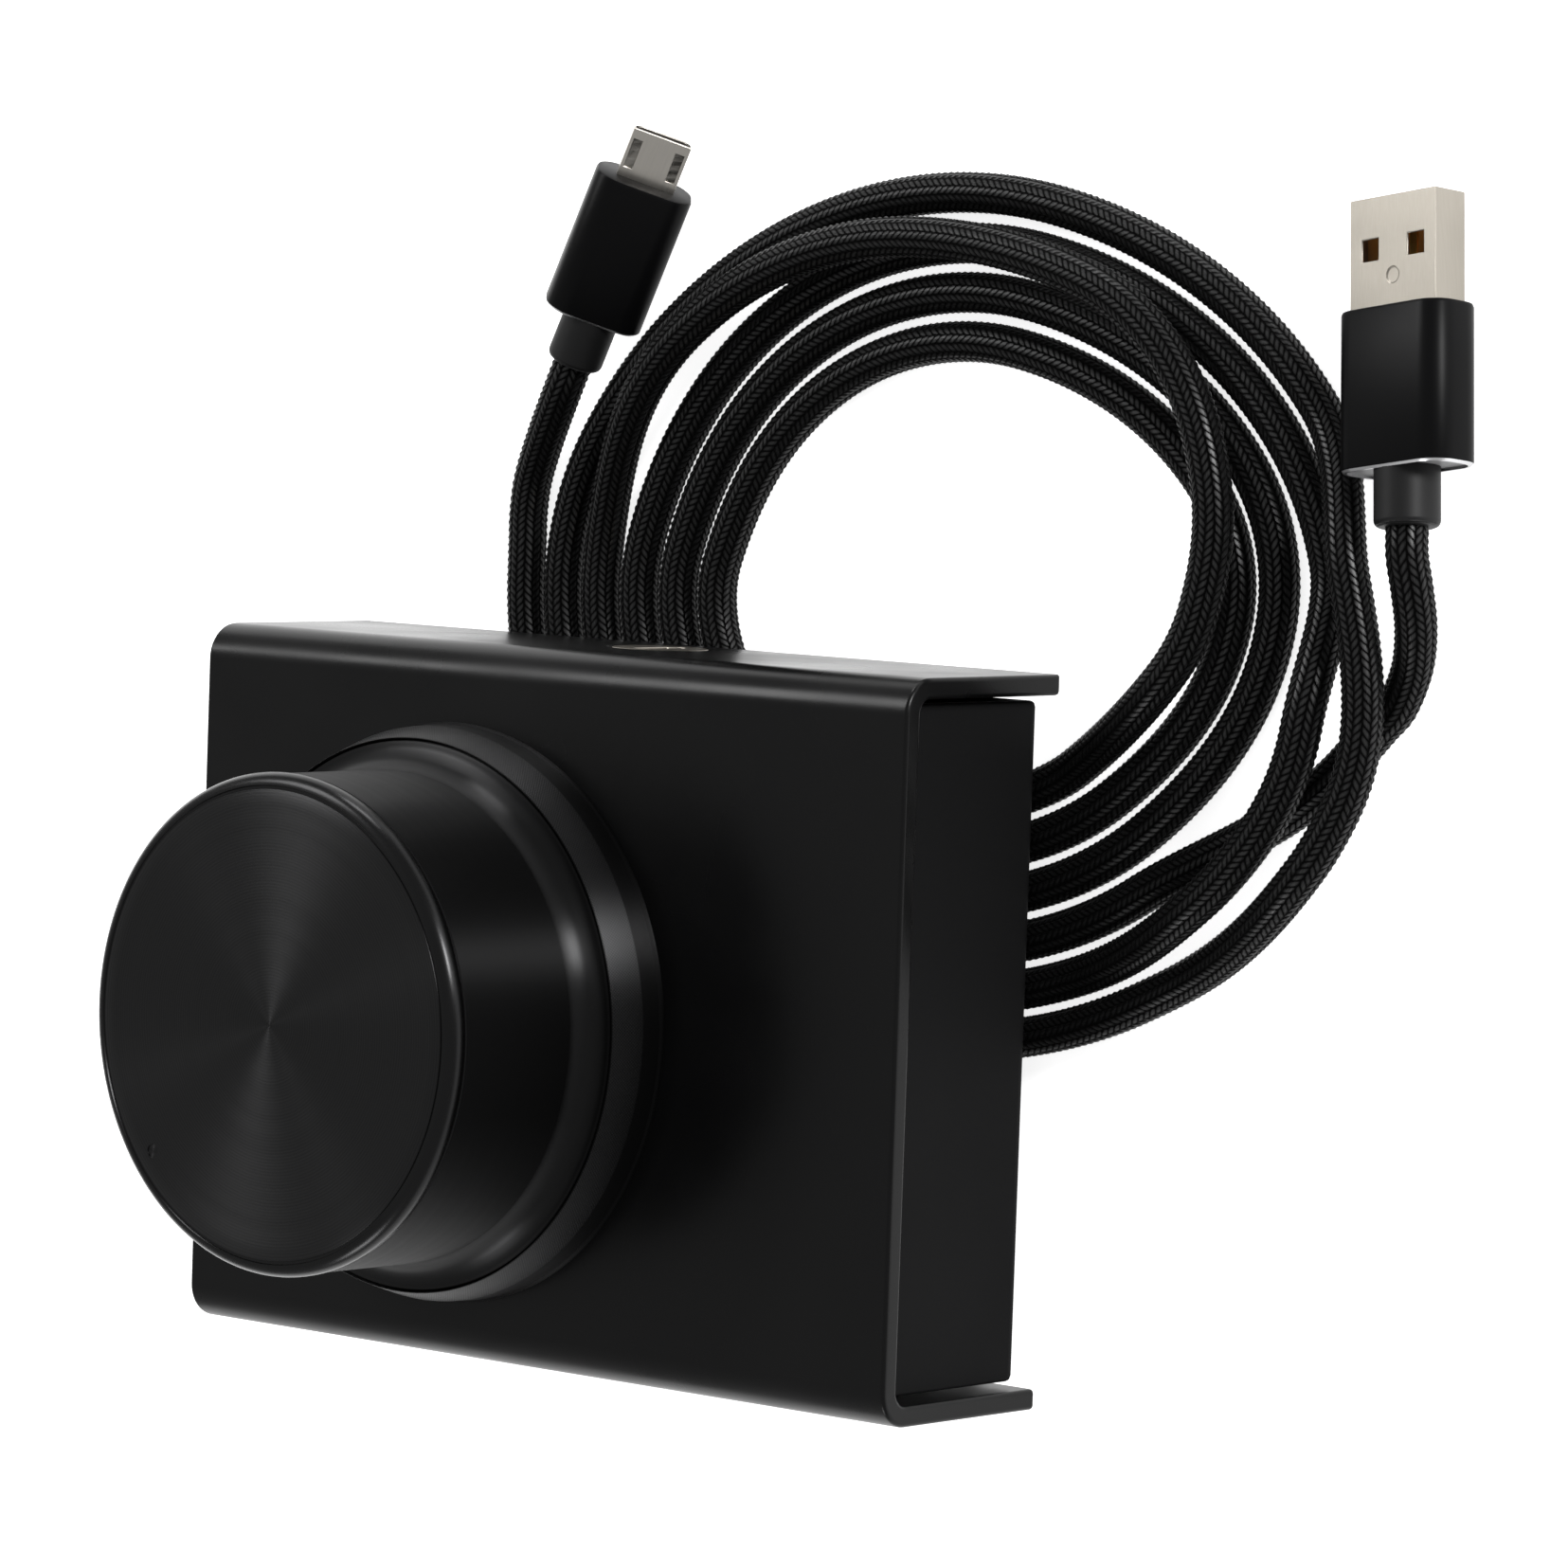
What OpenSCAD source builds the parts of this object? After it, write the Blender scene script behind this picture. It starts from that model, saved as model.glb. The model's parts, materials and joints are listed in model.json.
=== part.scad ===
// Desktop volume control: a turned dial on a folded metal box, with its braided cord.
// Millimetres. The box stands on its four feet with the dial up (+Z).
// The socket side is towards +Y, and the origin is under the middle of the box.

/* [Cover] */
// Width of the box along X
body_w = 105; // [100:1:130]
// Depth of the box along Y
body_d = 80; // [78:1:100]
// Height of the folded cover
body_h = 25.5; // [25:0.5:34]
// Sheet thickness of the cover
cover_t = 2.3; // [1.5:0.1:2.6]
// Outer radius of the cover's two bends
bend_r = 4; // [3:0.5:6]

/* [Tray] */
// Sheet thickness of the tray
tray_t = 1.5; // [1:0.1:2]
// Outer radius of the tray's two bends
tray_bend_r = 1.8; // [1.6:0.1:3]
// How far the tray's walls sit in from the cover's sides
tray_inset = 2.4; // [2:0.1:5]
// Gap between the tray and the cover's flanges
tray_gap = 0.65; // [0.3:0.05:1]
// How far the tray's back sits in from the flange ends
tray_recess = 0.2; // [0:0.1:1]
// Gap between the tray's walls and the front plate
wall_gap = 0.3; // [0.1:0.1:1]
// Radius of the tray's corners beside the flanges
tray_corner_r = 1.7; // [0.5:0.1:2]

/* [Feet] */
// Height of the rubber feet
foot_h = 5.5; // [5.4:0.1:9]
// Diameter of the rubber feet
foot_d = 9; // [7:0.5:9.4]
// Distance from a foot's centre to the end of the tray, along Y
foot_inset_y = 5; // [4.75:0.05:6]
// Distance from a foot's centre to the side of the cover, along X
foot_inset_x = 14; // [12:0.5:16]

/* [Dial] */
// Dial axis from the middle of the box along X
dial_x = -12.8; // [-14:0.1:-10]
// Dial axis from the middle of the box along Y
dial_y = -1.2; // [-3:0.1:3]
// Height of the dial's face above the front plate
dial_h = 28.15; // [26:0.05:34]
// Diameter of the dial's cylinder
dial_d = 54.6; // [53:0.1:56]
// Diameter over the bead at the top edge
bead_d = 55; // [53.6:0.1:57]
// Radius of the bead at the top edge
bead_r = 1.4; // [1:0.1:1.8]
// Diameter of the skirt
skirt_d = 60.9; // [60.5:0.1:62]
// Height of the skirt's outer edge above the front plate
skirt_top = 6.6; // [5.6:0.1:8]
// Height at which the flare meets the cylinder
flare_top = 9.5; // [9.2:0.1:12]
// Slope of the flare where it leaves the cylinder, in degrees
flare_start = 14; // [0:1:30]
// Height of the skirt's lower edge above the front plate
skirt_low = 2.4; // [2.2:0.1:3]
// Thickness of the dial's face
face_t = 3.5; // [2:0.1:5]
// Thickness of the cylinder's wall
dial_wall = 2.5; // [1.5:0.1:3]
// Thickness of the skirt's wall
skirt_wall = 2.85; // [2:0.05:3]
// Thickness of the skirt under its outer edge
skirt_roof = 1.5; // [1.2:0.1:2]
// Width of the groove between the face and the bead
face_groove_w = 0.4; // [0.2:0.1:0.8]
// Depth of the groove between the face and the bead
face_groove_d = 0.4; // [0.2:0.1:0.8]
// Diameter of the small mark on the face
mark_d = 1.7; // [1:0.1:3]
// Depth of the small mark
mark_depth = 0.25; // [0.1:0.05:0.5]
// Distance of the mark from the dial's axis
mark_r = 23.4; // [15:0.1:24]
// Direction of the mark around the axis
mark_angle = 221.5; // [0:0.5:360]

/* [Base ring] */
// Thickness of the fixed base ring outside its bore
ring_rim = 1.7; // [1.4:0.05:2.2]
// Height of the base ring's outer wall
ring_wall_h = 3.1; // [2.5:0.1:3.4]
// Height of the base ring with its steep chamfer
ring_h = 6.7; // [5:0.1:7]
// Height of the base ring's inner land, which takes its screws
ring_land_h = 4.1; // [3.8:0.1:4.8]
// Running gap between the skirt and the base ring
skirt_gap = 0.2; // [0.15:0.05:0.6]
// Thickness of the base ring's floor under the skirt
ring_floor = 1.2; // [1:0.1:1.3]
// Diameter of the opening in the middle of the base ring
ring_open_d = 28; // [24:0.5:32]
// Screw circle of the base ring
ring_pcd = 41; // [40:0.5:44]

/* [Push] */
// Travel of the dial when it is pushed
press_travel = 0.5; // [0.3:0.05:0.6]

/* [Encoder] */
// Side of the encoder's square body
enc_w = 12.4; // [12:0.1:14]
// Height of the encoder's plastic body
enc_h = 6.6; // [6.6:0.1:8]
// Thickness of the encoder's metal cap
enc_cap_t = 0.8; // [0.5:0.1:1]
// Diameter of the shaft
shaft_d = 6; // [5:0.1:6.35]
// Wall of the threaded bushing
bushing_wall = 0.45; // [0.4:0.05:0.8]
// Height of the bushing above the front plate
bushing_top = 5.4; // [5:0.1:5.6]
// Height of the shaft above the front plate
shaft_top = 18.5; // [15:0.5:20]
// Depth of the flat on the shaft
shaft_flat = 1.5; // [1:0.1:1.8]
// Height of the lock nut
nut_h = 2; // [1.5:0.1:2.4]
// Width of the lock nut across its flats
nut_af = 10; // [9:0.5:12]
// Thickness of the washer
washer_t = 0.5; // [0.3:0.1:0.8]
// Diameter of the washer
washer_d = 12; // [11:0.5:14]

/* [Boards] */
// Thickness of the circuit boards
board_t = 1.6; // [1:0.1:1.6]
// Width of the main board
board_w = 52; // [48:1:56]
// Distance between the boards' screws along X
post_dx = 44; // [40:1:44]
// Distance between the boards' screws along Y
post_dy = 52; // [50:1:54]
// Margin of the main board beyond its screws
board_margin = 4; // [3.5:0.1:5]

/* [Socket] */
// Socket axis from the middle of the box along X
port_x = 1; // [0:0.5:6]
// Depth of the socket's axis below the front plate's outer face
port_drop = 17.9; // [17.3:0.1:18]
// Diameter of the bright bezel
bezel_d = 10.8; // [10:0.1:11.4]
// Width of the socket's shell
socket_w = 7.5; // [7:0.1:7.6]
// Thickness of the socket's shell
socket_t = 2.7; // [2.6:0.1:2.9]
// Length of the socket's shell
socket_l = 6.2; // [5:0.1:7]

/* [Cord] */
// Diameter of the braided cord
cord_d = 4.6; // [4:0.1:4.6]
// Length of the strain relief on each plug
collar_l = 6; // [4:0.5:8]
// Diameter of the small plug's strain relief
small_collar_d = 6.4; // [5.6:0.1:6.8]
// Diameter of the large plug's strain relief
large_collar_d = 7; // [6:0.1:7.4]
// Width of the small plug's sleeve
small_sleeve_w = 11.4; // [10:0.1:11.6]
// Thickness of the small plug's sleeve
small_sleeve_t = 7; // [6:0.1:8]
// Length of the small plug's sleeve
small_sleeve_l = 17; // [14:0.5:20]
// Width of the large plug's sleeve
large_sleeve_w = 15; // [14:0.1:16]
// Thickness of the large plug's sleeve
large_sleeve_t = 7.5; // [6.5:0.1:9]
// Length of the large plug's sleeve
large_sleeve_l = 17; // [14:0.5:20]

/* [Hidden] */
$fn = 64;
eps = 0.01;

// Clearances between pieces that fit each other
run_gap = 0.05;
slide_gap = 0.08;
push_gap = 0.03;
thread_gap = 0.05;
drop_gap = 0.1;

// Heights of the sheet metal
cover_z0 = foot_h - tray_recess;
plate_top = cover_z0 + body_h;
plate_in = plate_top - cover_t;
tray_in = foot_h + tray_t;
wall_x = body_w / 2 - tray_inset;
tray_y = body_d / 2 - cover_t - tray_gap;
flange_in = body_d / 2 - cover_t;
foot_x = body_w / 2 - foot_inset_x;
foot_y = tray_y - foot_inset_y;

// Screws
m3_r = 1.5;
m3_head_r = 2.8;
m25_r = 1.25;
m25_head_r = 2.2;
m25_head_h = 1.5;
pillar_r = 3;
pillar_inset_x = 9.5;
pillar_inset_y = 17;
pillar_x = body_w / 2 - pillar_inset_x;
pillar_y = body_d / 2 - pillar_inset_y;
drive_r = 0.8;
drive_depth = 0.8;
tray_screw_l = 8;
tray_drive_r = 1;
tray_drive_depth = 0.9;
head_sink = 0.1;
ring_screw_l = 5.4;
board_screw_l = 4.8;
screw_reserve = 0.6;
post_r = 2.5;
foot_edge = 0.6;

// Dial
skirt_r = skirt_d / 2;
cyl_r = dial_d / 2;
ring_bore_r = skirt_r + skirt_gap;
ring_r = ring_bore_r + ring_rim;
ring_foot_h = 0.3;
ring_foot_step = 0.25;
ring_draft = 0.4;
ring_edge = 0.1;
land_gap = 0.6;
inner_land_r = skirt_r - skirt_wall - land_gap;
edge_round = 0.15;
bead_neck = 1.6;
hub_r = 5;
boss_r = 7.5;
boss_low = 6.5;
hub_top = 23;
dial_face_z = plate_top + dial_h;

// Encoder heights, from the front plate down
cap_z = plate_in - enc_cap_t;
enc_z = cap_z - enc_h;
board_z = enc_z - board_t;
bushing_r = shaft_d / 2 + run_gap + bushing_wall;
bushing_flange_r = 5;
bushing_flange_h = 0.8;
enc_floor = 0.6;
switch_h = 2.4;
switch_r = 3;
rotor_cavity_r = 5.5;
rotor_cavity_z = enc_z + enc_floor + switch_h;
dome_rise = 0.45;
dome_t = 0.2;
nub_r = 0.9;
plunger_t = 0.8;
plunger_nub = enc_floor + dome_rise + press_travel + 0.05;
plunger_top = rotor_cavity_z - 0.15;
plunger_low = enc_z + plunger_nub;
shaft_tip_z = plunger_top + 0.02;
rotor_z = rotor_cavity_z + press_travel + 0.2;
rotor_t = 1.4;

// Boards and socket
board_x = dial_x + 4;
board_y = dial_y + 5;
port_z = plate_top - port_drop;
port_board_t = 1;
port_board_l = 18;
port_board_gap = 0.3;
socket_wall = 0.3;
socket_front = body_d / 2 - 0.8;
bezel_collar_r = 5.7;
bezel_collar_t = 0.8;
dish_r = bezel_d / 2 + 0.7;
dish_d = 0.4;

// Plug shells, standard sizes
small_shell_w = 6.85;
small_shell_t = 1.8;
small_shell_l = 5.8;
large_shell_w = 12;
large_shell_t = 4.5;
large_shell_l = 11.8;
shell_wall = 0.3;
shell_floor = 1;
large_tongue_t = 1.85;
large_tongue_in = 0.5;
sleeve_seat = 3;
sleeve_recess = 1;
sleeve_cap_t = 0.7;
sleeve_wall = 0.6;
sleeve_round = 2.8;
collar_edge = 0.4;
cord_r = cord_d / 2;

// Where each plug's strain relief ends, and how the plug lies on the table: the way it points,
// its tilt with the tip down, and its roll about its own axis
small_end = [-20.6, 71.2];
small_turn = 64;
small_tilt = 0;
small_roll = 45;
large_end = [99.2, 58.1];
large_turn = 98;
large_tilt = -7;
large_roll = -6;

// The coil: oval rings, numbered from the outermost, on the table
coil_c = [31.5, 46];
coil_a = 61.2;
coil_b_rear = 46;
coil_b_front = 47.5;
step_x = 5.9;
step_rear = 5.4;
step_front = 5.15;
layer_h = 5.15;
coil_start = 180;
coil_end = 2145;
coil_rings = 24;
coil_sides = 6;
lead_sides = 8;

// Angles at which the coil's rings change place, counted from +X in each pass
step_in = [435, 528];
step_in_first = [435, 515];
close_up = [315, 390];
slip_out = [308, 366];
cross_near = [312, 386];
cross_over = [364, 424];
cross_settle = [450, 528];

// Angles at which a ring rises onto another, and comes down again
rise_outer = [305, 330, 368, 392];
rise_second = [292, 318, 347, 371];
rise_cross = [306, 350, 489, 538];
// How far a raised ring leans out over the one beneath it, and between which angles
lean_out = [4, 2];
lean_outer = [300, 332, 338, 372];
lean_second = [290, 320, 334, 368];

// ---------------------------------------------------------------- helpers

// A soft step from 0 to 1 while a runs through the window w
function ease(a, w) = a <= w[0] ? 0 : a >= w[1] ? 1 : 0.5 - 0.5 * cos(180 * (a - w[0]) / (w[1] - w[0]));

// Up from 0 to 1 between w[0] and w[1], and down again between w[2] and w[3]
function rise(a, w) = ease(a, [w[0], w[1]]) - ease(a, [w[2], w[3]]);

function unit(v) = v / norm(v);

// A rounded rectangle, centred, of arcs and straight sides
module round_rect(w, h, r) {
    square([w - 2 * r, h], center = true);
    square([w, h - 2 * r], center = true);
    for (sx = [-1, 1], sy = [-1, 1])
        translate([sx * (w / 2 - r), sy * (h / 2 - r)])
            circle(r);
}

// A strip of section (y, z) drawn along X, centred
module along_x(l) {
    translate([-l / 2, 0, 0])
        rotate([90, 0, 90])
            linear_extrude(l)
                children();
}

// A strip of section (x, z) drawn along Y, centred
module along_y(l) {
    translate([0, l / 2, 0])
        rotate([90, 0, 0])
            linear_extrude(l)
                children();
}

// A channel section: flat top of width w, sides down to z0, outer bend r
module channel(w, z0, z1, r) {
    translate([-w / 2, z0])
        square([w, z1 - r - z0]);
    translate([-w / 2 + r, z0])
        square([w - 2 * r, z1 - z0]);
    for (s = [-1, 1])
        translate([s * (w / 2 - r), z1 - r])
            circle(r);
}

// Half the height of a rounded section of width w and thickness t, rolled by an angle
function rolled_half(w, t, r, roll) = (w / 2 - r) * abs(sin(roll)) + (t / 2 - r) * cos(roll) + r;

// Height at which a plug's axis starts, so that its sleeve or its shell rests on the table
function axis_height(sleeve, shell, tilt, roll) = max(
    rolled_half(sleeve.x, sleeve.y, sleeve_round, roll) * cos(tilt) - sleeve.z * sin(tilt),
    rolled_half(shell.x, shell.y, 0, roll) * cos(tilt) - shell.z * sin(tilt));

// Children at the four corners of a rectangle
module at_corners(x, y) {
    for (sx = [-1, 1], sy = [-1, 1])
        translate([sx * x, sy * y, 0])
            children();
}

// Children around the dial's axis, at the base ring's screws
module at_ring_screws() {
    for (i = [0 : 2])
        translate([dial_x, dial_y, 0])
            rotate([0, 0, 30 + 120 * i])
                translate([ring_pcd / 2, 0, 0])
                    children();
}

module on_dial() {
    translate([dial_x, dial_y, 0])
        children();
}

// A cylinder between two heights
module rod(r, z0, z1) {
    translate([0, 0, z0])
        cylinder(r = r, h = z1 - z0);
}

// ---------------------------------------------------------------- sheet metal

module cover() {
    color([0.09, 0.09, 0.1])
    difference() {
        along_x(body_w)
            difference() {
                channel(body_d, cover_z0, plate_top, bend_r);
                translate([0, -eps])
                    channel(body_d - 2 * cover_t, cover_z0, plate_in + eps, bend_r - cover_t);
            }
        on_dial()
            rod(bushing_r + drop_gap, plate_in - 1, plate_top + 1);
        at_ring_screws()
            rod(m25_r + drop_gap, plate_in - 1, plate_top + 1);
        translate([port_x, flange_in - 1, port_z])
            rotate([-90, 0, 0])
                cylinder(r = bezel_d / 2 + push_gap, h = cover_t + 2);
        translate([port_x, body_d / 2 - dish_d, port_z])
            rotate([-90, 0, 0])
                cylinder(r1 = bezel_d / 2 + push_gap, r2 = dish_r, h = dish_d + eps);
    }
}

// Threaded pillars welded under the front plate
module cover_pillars() {
    color([0.62, 0.62, 0.64])
    at_corners(pillar_x, pillar_y)
        difference() {
            rod(pillar_r, tray_in, plate_in);
            rod(m3_r + push_gap, tray_in - 1, tray_in + tray_screw_l);
        }
}

module tray_profile() {
    difference() {
        translate([0, foot_h + plate_in - wall_gap])
            mirror([0, 1])
                channel(2 * wall_x, foot_h, plate_in - wall_gap, tray_bend_r);
        translate([0, foot_h + plate_in - wall_gap + 1])
            mirror([0, 1])
                channel(2 * (wall_x - tray_t), foot_h, plate_in - wall_gap - tray_t + 1,
                    tray_bend_r - tray_t);
    }
}

module tray() {
    color([0.08, 0.08, 0.09])
    difference() {
        intersection() {
            along_y(2 * tray_y)
                tray_profile();
            along_x(body_w)
                intersection() {
                    channel(2 * tray_y, foot_h - 1, plate_in - wall_gap, bend_r - cover_t);
                    translate([0, foot_h + plate_in])
                        mirror([0, 1])
                            channel(2 * tray_y, foot_h, plate_in, tray_corner_r);
                }
        }
        at_corners(pillar_x, pillar_y) {
            rod(m3_r + drop_gap, foot_h - 1, tray_in + 1);
            translate([0, 0, foot_h - eps])
                cylinder(r1 = m3_head_r + drop_gap, r2 = m3_r + drop_gap, h = tray_t - 0.2);
        }
    }
}

module tray_screws() {
    color([0.2, 0.2, 0.21])
    at_corners(pillar_x, pillar_y)
        difference() {
            union() {
                rod(m3_r, foot_h + head_sink, tray_in + tray_screw_l - 1);
                translate([0, 0, foot_h + head_sink])
                    cylinder(r1 = m3_head_r - head_sink, r2 = m3_r - head_sink, h = tray_t - 0.3);
            }
            rod(tray_drive_r, foot_h, foot_h + tray_drive_depth);
        }
}

module feet() {
    color([0.05, 0.05, 0.05])
    at_corners(foot_x, foot_y)
        rotate_extrude()
            polygon([[0, 0], [foot_d / 2 - foot_edge, 0], [foot_d / 2, foot_edge],
                [foot_d / 2, foot_h], [0, foot_h]]);
}

// ---------------------------------------------------------------- base ring

module base_ring() {
    color([0.1, 0.1, 0.11])
    on_dial()
        difference() {
            translate([0, 0, plate_top])
                rotate_extrude($fn = 96)
                    polygon([[ring_open_d / 2, 0], [ring_r, 0], [ring_r, ring_foot_h],
                        [ring_r - ring_foot_step, ring_foot_h + 0.2],
                        [ring_r - ring_draft, ring_wall_h], [ring_bore_r + ring_edge, ring_h],
                        [ring_bore_r, ring_h - ring_edge], [ring_bore_r, ring_floor],
                        [inner_land_r, ring_floor], [inner_land_r, ring_land_h],
                        [ring_open_d / 2, ring_land_h]]);
            translate([-dial_x, -dial_y, 0])
                at_ring_screws()
                    rod(m25_r + push_gap, plate_top - 1, plate_top + ring_screw_l - cover_t + 0.2);
        }
}

module ring_screws() {
    color([0.55, 0.55, 0.57])
    at_ring_screws()
        difference() {
            union() {
                rod(m25_r, plate_in - 0.1, plate_in + ring_screw_l);
                rod(m25_head_r, plate_in - m25_head_h, plate_in);
            }
            rod(drive_r, plate_in - m25_head_h - 1, plate_in - m25_head_h + drive_depth);
        }
}

// ---------------------------------------------------------------- dial

// The dial's hollow flare, from the skirt's edge up to the cylinder
dial_flare = [for (a = [90 : -9.5 : flare_start])
    [skirt_r - (skirt_r - cyl_r) * cos(a) / cos(flare_start) - edge_round * sin(a),
        flare_top - (flare_top - skirt_top) * (sin(a) - sin(flare_start)) / (1 - sin(flare_start))]];

// Outline of the dial, from the boss on the axis round to the face
dial_outline = concat(
    [[0, boss_low], [boss_r, boss_low], [boss_r, dial_h - face_t],
        [cyl_r - dial_wall, dial_h - face_t], [cyl_r - dial_wall, flare_top],
        [skirt_r - skirt_wall, skirt_top - skirt_roof], [skirt_r - skirt_wall, skirt_low],
        [skirt_r, skirt_low], [skirt_r, skirt_top - edge_round]],
    dial_flare,
    [[cyl_r, flare_top + 0.1], [cyl_r, dial_h - bead_r - bead_neck],
        [bead_d / 2 - bead_r * 0.5, dial_h - bead_r - bead_neck + 0.3]],
    [for (a = [-60 : 15 : 90])
        [bead_d / 2 - bead_r + bead_r * cos(a), dial_h - bead_r + bead_r * sin(a)]],
    [[bead_d / 2 - bead_r - 0.05, dial_h - face_groove_d],
        [bead_d / 2 - bead_r - face_groove_w, dial_h - face_groove_d],
        [bead_d / 2 - bead_r - face_groove_w - 0.05, dial_h], [0, dial_h]]);

module dial_knob() {
    color([0.12, 0.12, 0.13])
    on_dial()
        difference() {
            translate([0, 0, plate_top])
                rotate_extrude($fn = 96)
                    polygon(dial_outline);
            rod(hub_r + push_gap, plate_top, plate_top + hub_top);
            rotate([0, 0, mark_angle])
                translate([mark_r, 0, 0])
                    rod(mark_d / 2, dial_face_z - mark_depth, dial_face_z + 1);
        }
}

// The shaft's section with its flat, grown by g
module d_section(g) {
    intersection() {
        circle(shaft_d / 2 + g);
        translate([-shaft_d, -shaft_d])
            square([shaft_d * 1.5 - shaft_flat + g, 2 * shaft_d]);
    }
}

module dial_hub() {
    color([0.85, 0.85, 0.82])
    on_dial()
        difference() {
            rod(hub_r, plate_top + boss_low, plate_top + hub_top);
            translate([0, 0, plate_top + boss_low - 1])
                linear_extrude(shaft_top - boss_low + 1.5)
                    d_section(0.02);
        }
}

module shaft() {
    color([0.7, 0.7, 0.72])
    on_dial() {
        rod(shaft_d / 4, shaft_tip_z, rotor_z - 0.1 + eps);
        rod(shaft_d / 2, rotor_z - 0.1, plate_top + boss_low - 0.5);
        translate([0, 0, plate_top + boss_low - 0.5])
            linear_extrude(shaft_top - boss_low + 0.5)
                d_section(0);
    }
}

module encoder_rotor() {
    color([0.9, 0.88, 0.8])
    on_dial()
        difference() {
            rod(rotor_cavity_r - 0.4, rotor_z, rotor_z + rotor_t);
            rod(shaft_d / 2 + 0.02, rotor_z - 1, rotor_z + rotor_t + 1);
        }
}

// ---------------------------------------------------------------- encoder and push switch

module switch_plunger() {
    color([0.9, 0.9, 0.88])
    on_dial() {
        rod(switch_r - slide_gap, plunger_top - plunger_t, plunger_top);
        rod(nub_r, plunger_low, plunger_top - plunger_t + eps);
    }
}

// A snap dome on the switch's floor
module switch_dome() {
    color([0.8, 0.8, 0.8])
    on_dial()
        translate([0, 0, enc_z + enc_floor])
            rotate_extrude()
                polygon([[0, dome_rise - dome_t], [switch_r * 0.5, (dome_rise - dome_t) * 0.8],
                    [switch_r * 0.85, 0], [switch_r * 0.9, 0], [switch_r * 0.9, dome_t],
                    [switch_r * 0.55, dome_rise * 0.85], [0, dome_rise]]);
}

module encoder_body() {
    color([0.16, 0.16, 0.17])
    on_dial()
        difference() {
            translate([-enc_w / 2, -enc_w / 2, enc_z])
                cube([enc_w, enc_w, enc_h]);
            rod(rotor_cavity_r, rotor_cavity_z, cap_z + 1);
            rod(switch_r, enc_z + enc_floor, rotor_cavity_z + 1);
        }
}

// A metal cap over the encoder, with a leg folded down each side through the board
module encoder_cap() {
    leg_t = 0.4;
    leg_w = 5;
    color([0.75, 0.75, 0.76])
    on_dial()
        difference() {
            union() {
                translate([-enc_w / 2, -enc_w / 2, cap_z])
                    cube([enc_w, enc_w, enc_cap_t]);
                for (s = [-1, 1])
                    translate([s * (enc_w / 2 + leg_t / 2 + 0.05) - leg_t / 2, -leg_w / 2, board_z - 0.6])
                        cube([leg_t, leg_w, plate_in - board_z + 0.6]);
                for (s = [-1, 1])
                    translate([s * enc_w / 2 - 0.5, -leg_w / 2, cap_z])
                        cube([1, leg_w, enc_cap_t]);
            }
            rod(bushing_r + push_gap, cap_z - 1, plate_in + 1);
        }
}

module encoder_bushing() {
    color([0.72, 0.65, 0.42])
    on_dial()
        difference() {
            union() {
                rod(bushing_r, cap_z - bushing_flange_h, plate_top + bushing_top);
                rod(bushing_flange_r, cap_z - bushing_flange_h, cap_z);
            }
            rod(shaft_d / 2 + run_gap, cap_z - bushing_flange_h - 1, plate_top + bushing_top + 1);
        }
}

module washer() {
    color([0.7, 0.7, 0.72])
    on_dial()
        difference() {
            rod(washer_d / 2, plate_top, plate_top + washer_t);
            rod(bushing_r + drop_gap, plate_top - 1, plate_top + washer_t + 1);
        }
}

module lock_nut() {
    color([0.66, 0.66, 0.68])
    on_dial()
        difference() {
            translate([0, 0, plate_top + washer_t])
                cylinder(d = nut_af / cos(30), h = nut_h, $fn = 6);
            rod(bushing_r + thread_gap, plate_top, plate_top + washer_t + nut_h + 1);
        }
}

// ---------------------------------------------------------------- boards

module at_posts() {
    translate([board_x, board_y, 0])
        at_corners(post_dx / 2, post_dy / 2)
            children();
}

module main_board() {
    leg_slot = 1.2;
    color([0.05, 0.28, 0.14])
    difference() {
        translate([board_x - board_w / 2, board_y - post_dy / 2 - board_margin, board_z])
            cube([board_w, post_dy + 2 * board_margin, board_t]);
        at_posts()
            rod(m25_r + drop_gap, board_z - 1, board_z + board_t + 1);
        on_dial()
            for (s = [-1, 1])
                translate([s * (enc_w / 2 + 0.25) - leg_slot / 2, -3, board_z - 1])
                    cube([leg_slot, 6, board_t + 2]);
    }
}

module board_posts() {
    color([0.7, 0.62, 0.35])
    at_posts()
        difference() {
            rod(post_r, board_z + board_t, plate_in);
            rod(m25_r + push_gap, board_z, board_z + board_t + board_screw_l + screw_reserve);
        }
}

module board_screws() {
    color([0.55, 0.55, 0.57])
    at_posts()
        difference() {
            union() {
                rod(m25_r, board_z - 0.1, board_z + board_t + board_screw_l);
                rod(m25_head_r, board_z - m25_head_h, board_z);
            }
            rod(drive_r, board_z - m25_head_h - 1, board_z - m25_head_h + drive_depth);
        }
}

module controller_chip() {
    chip_w = 7;
    chip_t = 1.2;
    place = [-8, -12];
    color([0.04, 0.04, 0.05])
    translate([board_x + place.x - chip_w / 2, board_y + place.y - chip_w / 2, board_z - chip_t])
        cube([chip_w, chip_w, chip_t]);
}

module small_chips() {
    row_place = [-2, -18];
    row_pitch = 3;
    row_chip = [1.2, 2, 0.7];
    big_place = [2, -14];
    big_chip = [5, 3.2, 1];
    color([0.5, 0.42, 0.3])
    translate([board_x, board_y, board_z]) {
        for (i = [0 : 3])
            translate([row_place.x + row_pitch * i, row_place.y, -row_chip.z])
                cube(row_chip);
        translate([big_place.x, big_place.y, -big_chip.z])
            cube(big_chip);
    }
}

// A small upright board, soldered by its edge under the main board
module port_board() {
    color([0.05, 0.28, 0.14])
    translate([port_x + socket_t / 2, flange_in - port_board_gap - bezel_collar_t - port_board_l,
        tray_in + port_board_gap])
        cube([port_board_t, port_board_l, board_z - tray_in - port_board_gap]);
}

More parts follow.
